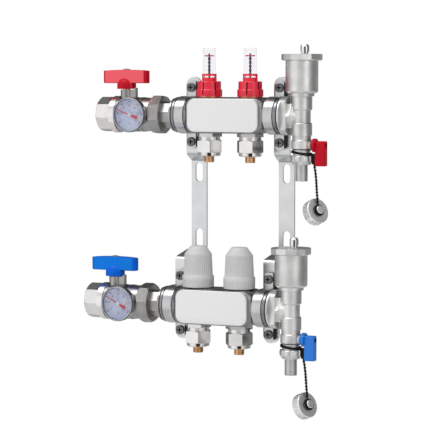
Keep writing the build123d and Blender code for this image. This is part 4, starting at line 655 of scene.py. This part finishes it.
@dataclass
class Studio:
    """Camera, soft lights, floor and white surroundings.

    Attributes:
        azimuth: direction of the camera round the object, in degrees from the front.
        elevation: height of the camera above the horizon, in degrees.
        distance: distance from the camera to its target, in metres.
        target: the point it looks at.
        lens: focal length in mm on a sensor 36 mm wide.
    """

    azimuth: float = 25.09
    elevation: float = 3.85
    distance: float = 2.4038
    target: Vector = field(default_factory=lambda: Vector((0.0360, Row.SUPPLY.axis.y * MM, -0.0085)))
    lens: float = 180.2

    def camera(self) -> None:
        """Place the camera of the photograph."""
        data = bpy.data.cameras.new("photo_camera")
        data.lens = self.lens
        data.sensor_width = 36.0
        data.clip_start = 0.05
        data.clip_end = 20.0
        camera = bpy.data.objects.new("photo_camera", data)
        turn = math.radians(self.azimuth)
        rise = math.radians(self.elevation)
        out = Vector((math.sin(turn) * math.cos(rise), -math.cos(turn) * math.cos(rise), math.sin(rise)))
        camera.location = self.target + out * self.distance
        camera.rotation_euler = (-out).to_track_quat("-Z", "Y").to_euler()
        bpy.context.scene.collection.objects.link(camera)
        bpy.context.scene.camera = camera
        bpy.context.scene.view_settings.view_transform = "Standard"

    def panel(self, name: str, place: tuple, size: float, power: float) -> None:
        """Add one soft light that faces the object.

        Args:
            name: name of the light.
            place: its place in metres.
            size: its edge length in metres.
            power: its power in watts.
        """
        data = bpy.data.lights.new(name, "AREA")
        data.size = size
        data.energy = power
        light = bpy.data.objects.new(name, data)
        light.location = place
        aim = self.target - Vector(place)
        light.rotation_euler = aim.to_track_quat("-Z", "Y").to_euler()
        bpy.context.scene.collection.objects.link(light)

    def surroundings(self) -> None:
        """White to the camera; soft light and dark bands to everything else."""
        world = bpy.data.worlds.new("studio")
        bpy.context.scene.world = world
        world.use_nodes = True
        graph = NodeGraph(world.node_tree)
        way = graph.axes("Generated").outputs
        ahead = graph.work_out("MULTIPLY", way["Y"], -1.0)
        bands = self.bands(graph, way["Y"], way["X"], self.round_bands())
        heights = self.bands(graph, way["Z"], ahead, self.height_bands())
        steep = graph.span(graph.work_out("ABSOLUTE", way["Z"]), (0.16, 0.40), shape="SMOOTHSTEP")
        soft = graph.add("ShaderNodeBackground", Strength=1.1)
        graph.link(graph.mix(steep, bands, heights), soft.inputs["Color"])
        white = graph.add("ShaderNodeBackground", Strength=1.0, Color=(1.0, 1.0, 1.0, 1.0))
        path = graph.add("ShaderNodeLightPath").outputs
        seen = graph.work_out("MAXIMUM", path["Is Camera Ray"], path["Is Transmission Ray"])
        choice = graph.add("ShaderNodeMixShader")
        graph.link(seen, choice.inputs["Fac"])
        graph.link(soft.outputs["Background"], choice.inputs[1])
        graph.link(white.outputs["Background"], choice.inputs[2])
        output = graph.add("ShaderNodeOutputWorld")
        graph.link(choice.outputs["Shader"], output.inputs["Surface"])

    @staticmethod
    def bands(graph: NodeGraph, up: Socket, across: Socket,
              levels: list) -> Socket:
        """Light by the angle of a direction, over the full circle.

        Args:
            graph: the world's nodes.
            up: the direction's part that is 0 at 0 degrees.
            across: its part that is 0 at 90 degrees.
            levels: (degrees, level) pairs from -180 to 180.
        Returns: the socket of the light's colour.
        """
        share = graph.span(graph.work_out("ARCTAN2", up, across), (-math.pi, math.pi))
        return graph.ramp(share, [((angle + 180) / 360, grey(level)) for angle, level in levels])

    @staticmethod
    def round_bands() -> list:
        """Returns: levels round the horizon, from behind left over the front to behind right."""
        return [
            (-180, 0.34), (-160, 0.34), (-148, 0.94), (-104, 0.94), (-96, 0.54), (-58, 0.44), (-36, 0.74),
            (-20, 0.64), (-6, 0.24), (34, 0.16), (63, 0.38), (100, 0.12), (140, 0.12), (165, 0.34),
            (180, 0.34),
        ]

    @staticmethod
    def height_bands() -> list:
        """Returns: levels from behind under the object and over the top to behind again."""
        return [
            (-180, 0.16), (-150, 0.40), (-104, 0.74), (-84, 0.46), (-62, 0.44), (-48, 0.92), (-14, 0.80),
            (14, 0.90), (30, 0.90), (46, 0.66), (64, 1.0), (86, 1.0), (96, 0.24), (112, 0.12), (160, 0.08),
            (180, 0.20),
        ]

    def floor(self) -> None:
        """Lay a pale round floor well below the object."""
        bm = bmesh.new()
        bmesh.ops.create_circle(bm, cap_ends=True, segments=96, radius=0.52,
                                matrix=Matrix.Translation((0.03, -0.12, -0.36)))
        floor = object_from(bm, "floor", 30.0)
        floor.data.materials.append(FLOOR.material())

    def build(self) -> None:
        """Set up everything round the object."""
        self.surroundings()
        self.panel("key_left", (-0.95, -0.55, 1.95), 0.9, 9.0)
        self.panel("fill_right", (1.7, -1.1, 0.5), 0.9, 2.0)
        self.panel("top", (0.0, -0.5, 1.7), 0.9, 6.0)
        self.floor()


@dataclass
class RowPart:
    """What is built for one row.

    Attributes:
        row: the row it belongs to.
    """

    row: Row


@dataclass
class Bar(RowPart):
    """Pressed bar of one row: block with rounded corners, tube ends and their beads.

    Attributes:
        start: left end of the block along X, in mm.
        end: right end of the block.
        depth: half its depth.
        height: half its height.
        corner: corner radius of its outline seen from the front.
        plate_corner: corner radius of the flat front.
        inset: how far the flat front stays back from the outline, along X and along Z.
        rim: how deep the rounding of the front rim goes.
        curve_steps: steps of each rounding.
        tube: radius of the tube ends.
        wall: wall of the tube ends.
        root: how far they start inside the block.
        reach: how far they stand out from where they start.
        bead: radius, width and chamfer of the bead at their rim.
    """

    start: float = 5.6
    end: float = 102.4
    depth: float = 20.5
    height: float = 20.0
    corner: float = 11.0
    plate_corner: float = 8.5
    inset: tuple = (7.2, 2.3)
    rim: float = 7.2
    curve_steps: int = 10
    tube: float = 19.3
    wall: float = 2.0
    root: float = 3.0
    reach: float = 15.1
    bead: tuple = (20.0, 3.0, 0.4)

    def outline(self, share: float) -> list:
        """Outline between the flat front and the full block.

        Args:
            share: 0 for the flat front, 1 for the full block.
        Returns: (x, z) points round the middle of the block.
        """
        wide = (self.end - self.start) / 2 - self.inset[0] * (1 - share)
        tall = self.height - self.inset[1] * (1 - share)
        radius = self.plate_corner + (self.corner - self.plate_corner) * share
        points = []
        for quarter, (right, up) in enumerate(((1, 1), (-1, 1), (-1, -1), (1, -1))):
            for step in range(self.curve_steps + 1):
                angle = math.pi / 2 * (quarter + step / self.curve_steps)
                points.append((right * (wide - radius) + radius * math.cos(angle),
                               up * (tall - radius) + radius * math.sin(angle)))
        return points

    def block(self, shape: Shape, centre: Vector) -> None:
        """Loft the block from its flat front to its flat back.

        Args:
            shape: what to build into.
            centre: middle of the block.
        """
        turns = [math.pi / 2 * step / self.curve_steps for step in range(self.curve_steps + 1)]
        layers = [(math.sin(turn), -self.depth + self.rim * (1 - math.cos(turn))) for turn in turns]
        layers += [(share, -y) for share, y in reversed(layers)]
        rings = []
        for share, y in layers:
            points = [centre + Vector((x, y, z)) for x, z in self.outline(share)]
            rings.append([shape.bm.verts.new(point) for point in points])
        for near, far in zip(rings, rings[1:]):
            for i in range(len(near)):
                k = (i + 1) % len(near)
                shape.bm.faces.new((near[i], near[k], far[k], far[i]))
        shape.bm.faces.new(rings[0])
        shape.bm.faces.new(rings[-1])

    def tube_end(self) -> list:
        """Returns: (radius, height) outline of a tube end with its bead, from the block's end outward."""
        bore = self.tube - self.wall
        bead, width, edge = self.bead
        start, end = self.reach - width, self.reach
        return [
            (bore, -self.root), (self.tube, -self.root), (self.tube, start), (bead, start + edge),
            (bead, end - edge), (bead - edge, end), (bore, end), (bore, -self.root),
        ]

    def build(self) -> None:
        """Build the block, its tube ends and the beads at their rims."""
        shape = Shape()
        self.block(shape, self.row.at((self.start + self.end) / 2))
        for face, out in ((self.start, -1), (self.end, 1)):
            points = [(radius, out * height) for radius, height in self.tube_end()]
            shape.lathe(points, self.row.at(face), Side.X, 96)
        name = f"{self.row.value}_bar"
        # The flat front takes the light tone of painted reflection and the rims the dark tone of painted
        # shade.
        finish = replace(STAINLESS, name=f"{name}_steel", front=(self.row.axis.y - self.depth) * MM)
        shape.piece(f"{name}_look", "frame", "stainless", finish, (name,), 24.0)


@dataclass
class Connector(RowPart):
    """Rubber ring and grooves of one pipe connector.

    Attributes:
        number: 1 or 2.
        x: place along the bar in mm.
        seal: radii and heights of the rubber ring, from the bar's axis.
        ribs: where the pipe's ribs start.
        rib: inner and outer radius, width and chamfer of a rib.
    """

    number: int
    x: float
    seal: tuple = ((5.5, 8.1), (-45.3, -41.7))
    ribs: tuple = (-46.6, -48.6, -50.6)
    rib: tuple = (5.3, 5.7, 1.2, 0.2)

    def build(self) -> None:
        """Add the rubber ring that shows in the split of the clamping ring and the pipe's ribs."""
        centre = self.row.at(self.x)
        seal = Shape()
        seal.ring(*self.seal, centre)
        seal.piece(f"{self.row.value}_pipe_seal_{self.number}", "frame", "black_rubber", RUBBER)
        ribs = Shape()
        inner, outer, width, edge = self.rib
        for start in self.ribs:
            end = start + width
            ribs.lathe([(inner, start), (outer, start + edge), (outer, end - edge), (inner, end),
                        (inner, start)], centre)
        ribs.piece(f"{self.row.value}_pipe_ribs_{self.number}", "frame", "brass", COPPER)


@dataclass
class Lanyard(RowPart):
    """Cap cord of one drain: the strand, its beads and the route.

    Attributes:
        route: control points of the cord in mm, from the bar's axis.
        length: its length in mm; not used.
        diameter: its diameter in mm.
        bead_pitch: distance from bead to bead along the cord.
        bead: radius of a bead.
        bead_squash: how much shorter than wide a bead is.
    """

    route: tuple
    length: float
    diameter: float = 2.0
    bead_pitch: float = 3.1
    bead: float = 1.65
    bead_squash: float = 0.72

    def build(self) -> None:
        name = self.row.value
        route = [self.row.at(*point) * MM for point in self.route]
        curve = bpy.data.curves.new(f"{name}_cord_curve", "CURVE")
        curve.dimensions = "3D"
        spline = curve.splines.new("NURBS")
        spline.points.add(len(route) - 1)
        for slot, point in zip(spline.points, route):
            slot.co = (*point, 1.0)
        spline.order_u = 3
        spline.use_endpoint_u = True
        spline.resolution_u = 24
        beads = self.beads(curve.copy())
        curve.bevel_depth = self.diameter / 2 * MM
        curve.bevel_resolution = 5
        curve.use_fill_caps = True
        cord = bpy.data.objects.new(f"{name}_cord", curve)
        bpy.context.scene.collection.objects.link(cord)
        curve.materials.append(SOFT_BLACK.material())
        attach(cord, "frame")
        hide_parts(f"{name}_lanyard_cord")

    def beads(self, line: bpy.types.Curve) -> bpy.types.Object:
        """String small beads along the cord.

        Args:
            line: a copy of the cord's curve without thickness.
        Returns: the beads as one piece.
        """
        mesh = mesh_of(line)
        points = [v.co / MM for v in mesh.vertices]
        bpy.data.meshes.remove(mesh)
        shape = Shape()
        squash = Matrix.Diagonal((1.0, 1.0, self.bead_squash, 1.0))
        walked = 0.0
        for before, here in zip(points, points[1:]):
            walked += (here - before).length
            if walked < self.bead_pitch:
                continue
            walked = 0.0
            tilt = (here - before).to_track_quat("Z", "Y").to_matrix().to_4x4()
            ball = bmesh.ops.create_uvsphere(shape.bm, u_segments=14, v_segments=8, radius=self.bead)["verts"]
            shape.move(ball, Matrix.Translation(here) @ tilt @ squash)
        return shape.piece(f"{self.row.value}_cord_beads", "frame", "soft_black", SOFT_BLACK)


@dataclass(frozen=True)
class Scale:
    """One printed scale of a dial, with all lengths in mm.

    Attributes:
        name: outer or inner.
        ink: what it is printed with.
        line: radius and width of its arc line.
        ticks: inner radius and length of the short ticks, number of steps, and how often one is longer.
        figures: what its figures say.
        figure: height and radius of a figure.
        unit: its unit, with its height, angle and radius.
    """

    name: str
    ink: Finish
    line: tuple
    ticks: tuple
    figures: tuple
    figure: tuple
    unit: tuple


FAHRENHEIT = Scale("outer", INK_BLUE, (17.9, 0.34), (16.3, 0.95, 42, 6),
                   ("30", "65", "100", "140", "175", "210", "250"), (1.9, 14.9), ("°F", 1.6, 0, 4.6))
CELSIUS = Scale("inner", INK_RED, (12.9, 0.24), (12.0, 0.7, 24, 4),
                ("0", "20", "40", "60", "80", "100", "120"), (2.1, 10.3), ("°C", 1.9, 180, 10.5))


@dataclass
class Gauge(RowPart):
    """Printed dial, pointer cap and a dark sheet of painted shade on the rim of one temperature gauge.

    Attributes:
        centre_x: place of the gauge along the bar, in mm.
        face: distance of the dial's front from the bar axis, in mm.
        sweep: angle of the scales in degrees.
        arc_step: longest piece of an arc line in degrees.
        ink_height: thickness of the print.
        tick_width: width of a tick.
    """

    centre_x: float = -59.0
    face: float = 23.2
    sweep: float = 250.0
    arc_step: float = 5.0
    ink_height: float = 0.04
    tick_width: float = 0.28

    def spot(self, angle: float, radius: float, turn: float = 0.0) -> Matrix:
        """Place something on the dial.

        Args:
            angle: degrees from straight up, to the right.
            radius: distance from the centre in mm.
            turn: turn of the thing in the dial plane, in degrees to the right.
        Returns: a matrix whose +Z faces out of the dial and whose +Y points up the dial.
        """
        lean = math.radians(angle)
        centre = self.row.at(self.centre_x, -self.face - self.ink_height / 2)
        place = centre + Vector((radius * math.sin(lean), 0, radius * math.cos(lean)))
        spin = Matrix.Rotation(-math.radians(turn), 4, "Z")
        return Matrix.Translation(place) @ Side.FRONT.value @ spin

    def arc(self, shape: Shape, radius: float, width: float) -> None:
        """Draw the arc line of a scale with short plates that overlap a little.

        Args:
            shape: what to draw into.
            radius: radius of the line in mm.
            width: its width in mm.
        """
        steps = int(self.sweep / self.arc_step)
        length = radius * math.radians(self.sweep / steps) * 1.04
        for i in range(steps):
            angle = -self.sweep / 2 + (i + 0.5) * self.sweep / steps
            shape.block((length, width, self.ink_height), self.spot(angle, radius, angle))

    def ticks(self, shape: Shape, radius: float, short: float, count: int, every: int) -> None:
        """Draw the ticks of a scale.

        Args:
            shape: what to draw into.
            radius: inner end of the ticks in mm.
            short: length of a short tick in mm.
            count: number of steps.
            every: each such tick is longer.
        """
        for i in range(count + 1):
            angle = -self.sweep / 2 + i * self.sweep / count
            length = short * (1.6 if i % every == 0 else 1.0)
            place = self.spot(angle, radius + length / 2, angle)
            shape.block((self.tick_width, length, self.ink_height), place)

    def print_scale(self, scale: Scale) -> None:
        """Print one scale with its figures and its unit.

        Args:
            scale: what to print.
        """
        shape = Shape()
        self.arc(shape, *scale.line)
        self.ticks(shape, *scale.ticks)
        height, radius = scale.figure
        for i, figure in enumerate(scale.figures):
            angle = -self.sweep / 2 + i * self.sweep / (len(scale.figures) - 1)
            shape.words(figure, height, self.spot(angle, radius, angle))
        unit, height, angle, radius = scale.unit
        shape.words(unit, height, self.spot(angle, radius))
        shape.piece(f"{self.row.value}_gauge_{scale.name}_scale", "frame", "dial_face", scale.ink)

    def build(self) -> None:
        """Print both scales, set the pointer's cap and lay a dark sheet of painted shade on the case's
        rounded edge.
        """
        name = self.row.value
        self.print_scale(FAHRENHEIT)
        self.print_scale(CELSIUS)
        hub = Shape()
        profile = [(0.0, 0.15), (2.3, 0.15), (2.3, 0.675), (1.7, 1.0125), (0.6, 1.125), (0.0, 1.1625)]
        hub.lathe(profile, self.row.at(self.centre_x, -self.face - 0.35), Side.FRONT, 40)
        hub.piece(f"{name}_pointer_cap", f"{name}_pointer", "white_seal", SEAL)
        # Thin dark shell over the case's rounded edge: painted shade.
        rim = Shape()
        profile = [(18.93, 26.97), (19.38, 26.68), (19.67, 26.23), (19.75, 25.8), (19.75, 25.0), (19.6, 25.0),
                   (19.55, 25.8), (19.25, 26.5), (18.8, 26.85), (18.93, 26.97)]
        rim.lathe(profile, self.row.at(self.centre_x), Side.FRONT, 96)
        rim.piece(f"{name}_gauge_rim_shade", "frame", "bright_steel", SCREW_STEEL)


@dataclass
class FlowMeter:
    """Printed scale and small parts of one flow meter, with heights from the bar's axis.

    Attributes:
        number: 1 or 2.
        x: place along the bar in mm.
        turn: direction of its first groove, in degrees from +X.
        print_radius: where the print lies on the tube.
        dash_size: thickness, width and height of a dash.
        scale_dashes: number of dashes of the scale, its direction, first height and step.
        band_dashes: number of dashes round the top, their first direction, step and height.
        disc: radii and heights of the red disc.
        seat: radii and heights of the seat ring.
        grooves: number of grooves in the collar, radius and height of the middle of the painted shade strips
            on their floors.
        groove_shade_size: thickness, width and height of one strip of painted shade.
    """

    number: int
    x: float
    turn: float
    print_radius: float = 7.08
    dash_size: tuple = (0.04, 0.8, 0.22)
    scale_dashes: tuple = (6, -42.0, 48.0, 3.1)
    band_dashes: tuple = (9, -170.0, 22.0, 71.2)
    disc: tuple = ((0.5, 5.25), (65.1, 66.5))
    seat: tuple = ((8.0, 13.4), (20.05, 20.6))
    grooves: tuple = (6, 12.3, 29.75)
    groove_shade_size: tuple = (1.0, 1.5, 13.7)

    def build(self) -> None:
        """Add the dashes, the top band, the disc, painted shade on the groove floors and the brass seat ring.
        """
        centre = Row.SUPPLY.at(self.x)
        marks = Shape()
        count, angle, first, step = self.scale_dashes
        for i in range(count):
            marks.block(self.dash_size, round_axis(centre, angle, self.print_radius, first + i * step))
        count, first, step, height = self.band_dashes
        for i in range(count):
            marks.block(self.dash_size, round_axis(centre, first + i * step, self.print_radius, height))
        marks.piece(f"flow_scale_{self.number}", "frame", "dark_plastic", INK_GREY)
        disc = Shape()
        disc.ring(*self.disc, centre)
        disc.piece(f"flow_disc_{self.number}", f"indicator_{self.number}", "dark_plastic", DISC_RED)
        # Dark strips on the collar's groove floors: painted shade.
        groove_shades = Shape()
        count, *place = self.grooves
        for i in range(count):
            groove_shades.block(self.groove_shade_size, round_axis(centre, self.turn + i * 360 / count, *place), 0.1)
        node = f"flow_meter_{self.number}_collar"
        groove_shades.piece(f"{node}_grooves", frame["nodes"][node]["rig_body"], "soft_black", SOFT_BLACK)
        seat = Shape()
        seat.ring(*self.seat, centre)
        seat.piece(f"flow_seat_{self.number}", "frame", "brass", BRASS)


@dataclass
class HandCap:
    """Fluted hand cap of one return regulator, with heights from the bar's axis.

    Attributes:
        number: 1 or 2.
        x: place along the bar in mm.
        outline: (radius, height) points of the cap, from the skirt over the top to the bore.
        flutes: number of fine flutes.
        depth: depth of a flute in mm.
        fluted: where the flutes start and end.
        fluted_radius: only what stands further out is fluted.
        ribs: number of ribs on the skirt, radius and height of their middles.
        rib: thickness, width and height of a rib.
    """

    number: int
    x: float
    outline: tuple = (
        (13.7, 20.6), (17.1, 20.6), (17.5, 21.2), (17.5, 26.8), (17.3, 27.1), (17.5, 27.4),
        (17.5, 32.7), (17.1, 33.4), (16.4, 33.6), (16.2, 34.4), (16.05, 38.0), (15.75, 44.0),
        (15.4, 51.0), (15.15, 56.8), (14.95, 57.3), (9.3, 65.3), (8.5, 66.0), (0.0, 66.2),
        (0.0, 48.0), (13.7, 48.0), (13.7, 20.6),
    )
    flutes: int = 36
    depth: float = 0.6
    fluted: tuple = (34.2, 57.0)
    fluted_radius: float = 15.0
    ribs: tuple = (24, 17.4, 30.0)
    rib: tuple = (0.3, 1.6, 4.6)

    def press_flutes(self, verts: list) -> None:
        """Press the flutes into the cap.

        Args:
            verts: its vertices, with its axis at the origin.
        """
        low, high = self.fluted
        for vert in verts:
            radius = math.hypot(vert.co.x, vert.co.y)
            if low < vert.co.z < high and radius > self.fluted_radius:
                angle = math.atan2(vert.co.y, vert.co.x)
                wave = 0.5 - 0.5 * math.cos(self.flutes * angle)
                share = 1.0 - self.depth * wave ** 3 / radius
                vert.co.x *= share
                vert.co.y *= share

    def build(self) -> None:
        """Turn the cap, press the flutes into its body and add the skirt's ribs."""
        shape = Shape()
        centre = Row.RETURN.at(self.x)
        made = shape.lathe(self.outline, Vector((0, 0, 0)), Side.Z, 6 * self.flutes)
        self.press_flutes(made)
        shape.move(made, Matrix.Translation(centre))
        count, *place = self.ribs
        for i in range(count):
            shape.block(self.rib, round_axis(centre, i * 360 / count, *place), 0.1)
        name = f"hand_cap_{self.number}"
        shape.piece(f"{name}_look", name, "light_plastic", LIGHT, (name,))


@dataclass
class Handle(RowPart):
    """Top screw of one valve handle, and its finish with a lighter face in painted sheen.

    Attributes:
        x: place of the stem along the bar in mm.
        face: distance of the grip's flat front from the bar's axis.
        edge: width of the softened edges.
        screw: (radius, height) points of the screw's dome, from the bar's axis.
    """

    x: float = -74.6
    face: float = 6.0
    edge: float = 0.3
    screw: tuple = ((0.0, 49.6), (4.6, 49.6), (4.6, 50.6), (3.8, 51.1), (2.0, 51.5), (0.0, 51.6))

    def build(self) -> None:
        """Dress the handle, its face in a lighter tone of painted sheen, and add the low screw dome on its
        crown.
        """
        name = f"{self.row.value}_valve"
        if self.row is Row.SUPPLY:
            # The lighter tones given for the face are painted sheen on the grip's flat front.
            slot, plastic, painted_sheen = "red_plastic", DEEP_RED, (0.88, 0.115, 0.145)
        else:
            slot, plastic, painted_sheen = "blue_plastic", BLUE, (0.0, 0.19, 0.76)
        finish = replace(plastic, name=f"{self.row.value}_handle_plastic", painted_sheen=painted_sheen,
                         front=(self.row.axis.y - self.face) * MM)
        Casting(f"{name}_handle", slot, self.edge, finish=finish).build()
        shape = Shape()
        shape.lathe(self.screw, self.row.at(self.x))
        shape.piece(f"{name}_handle_screw", name, "bright_steel", BRIGHT)


@dataclass
class VentSlot(RowPart):
    """Dark strips of painted shade in the slots of one vent cap.

    Attributes:
        place: axis of the cap from the bar's axis, and the middle of its slots, in mm.
        turn: how far the slots are turned from the front, in degrees.
        radius: how far the strips lie from the cap's axis.
        size: width, thickness and height of a strip.
    """

    place: tuple = (141.2, 7.2, 71.9)
    turn: float = 25.0
    radius: float = 4.0
    size: tuple = (1.5, 0.4, 7.4)

    def build(self) -> None:
        """Lay one dark strip of painted shade in each slot."""
        shape = Shape()
        spin = Matrix.Rotation(math.radians(self.turn), 4, "Z")
        centre = Matrix.Translation(self.row.at(*self.place)) @ spin
        for side in (-1, 1):
            shape.block(self.size, centre @ Matrix.Translation((0, side * self.radius, 0)), 0.1)
        name = f"{self.row.value}_vent_cap"
        shape.piece(f"{name}_slot_shade", name, "soft_black", SOFT_BLACK)


@dataclass
class ClampScrews(RowPart):
    """Dark crosses of painted shade in the cross recesses of one row's four clamp screws.

    Attributes:
        offset: height of the screws above and below the axis, in mm.
        depth: distance of the painted shade crosses behind the axis.
        head: radius of a screw head.
        cross: length, thickness and width of a bar of the cross.
    """

    offset: float = 30.5
    depth: float = 12.95
    head: float = 5.2
    cross: tuple = (5.5, 1.1, 1.2)

    def build(self) -> None:
        """Lay a dark cross of painted shade into each recess."""
        low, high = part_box("clamp_screws")
        length, thickness, width = self.cross
        shape = Shape()
        for x in (low.x / MM + self.head, high.x / MM - self.head):
            for side in (-1, 1):
                place = Matrix.Translation(self.row.at(x, self.depth, side * self.offset))
                shape.block((width, thickness, length), place, 0.1)
                shape.block((length, thickness, width), place, 0.1)
        shape.piece(f"{self.row.value}_screw_recess_shade", "frame", "soft_black", SOFT_BLACK)


@dataclass
class LeverScrew(RowPart):
    """Black socket screw in the end of one drain lever.

    Attributes:
        hub: radius of the lever's hub in mm.
        depth: how deep the screw starts inside the lever's end.
        outline: (radius, height) points of the screw, with its socket.
    """

    hub: float = 7.5
    depth: float = 4.9
    outline: tuple = ((0.0, 0.0), (2.85, 0.0), (2.85, 4.1), (2.45, 4.5), (1.5, 4.6), (1.3, 3.4), (0.0, 3.2))

    def build(self) -> None:
        """Turn the screw and set it into the lever's bore."""
        node = f"{self.row.value}_drain_lever"
        low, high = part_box(node)
        place = Vector((high.x, (low.y + high.y) / 2, high.z)) / MM - Vector((self.depth, 0, self.hub))
        shape = Shape()
        shape.lathe(self.outline, place, Side.X, 40)
        shape.piece(f"{node}_screw", frame["nodes"][node]["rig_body"], "soft_black", SOFT_BLACK)


def build_castings() -> None:
    """Dress every CAD node that no other class rebuilds."""
    own = {"hand_cap_1", "hand_cap_2"}
    for row in Row:
        own |= {f"{row.value}_{part}" for part in ("lanyard_cord", "bar", "valve_handle")}
    for part in frame["record"]["subparts"]:
        if part["node"] not in own:
            Casting(part["node"], part["material_slot"], NODE_EDGE.get(part["node"], 0.25)).build()


def build_lanyards() -> None:
    """Hang both drain caps on their cords."""
    top = ((154.3, 2.5, -53.1), (155.6, 4.5, -60.6))
    supply_route = (*top, (157.492, 4.09, -90.442), (158.892, 3.09, -96.442))
    return_route = (*top, (157.672, 4.476, -90.442), (159.072, 3.476, -96.442))
    Lanyard(Row.SUPPLY, supply_route, 43.94).build()
    Lanyard(Row.RETURN, return_route, 43.96).build()


def main() -> None:
    """Build the camera, the object piece by piece and the studio."""
    studio = Studio()
    studio.camera()
    build_castings()
    build_lanyards()
    for row in Row:
        Bar(row).build()
        Gauge(row).build()
        Handle(row).build()
        VentSlot(row).build()
        ClampScrews(row).build()
        LeverScrew(row).build()
        for number, x in LOOP_PLACES:
            Connector(row, number, x).build()
    for (number, x), turn in zip(LOOP_PLACES, (25.0, 38.0)):
        FlowMeter(number, x, turn).build()
        HandCap(number, x).build()
    studio.build()


if __name__ == "__main__":
    main()
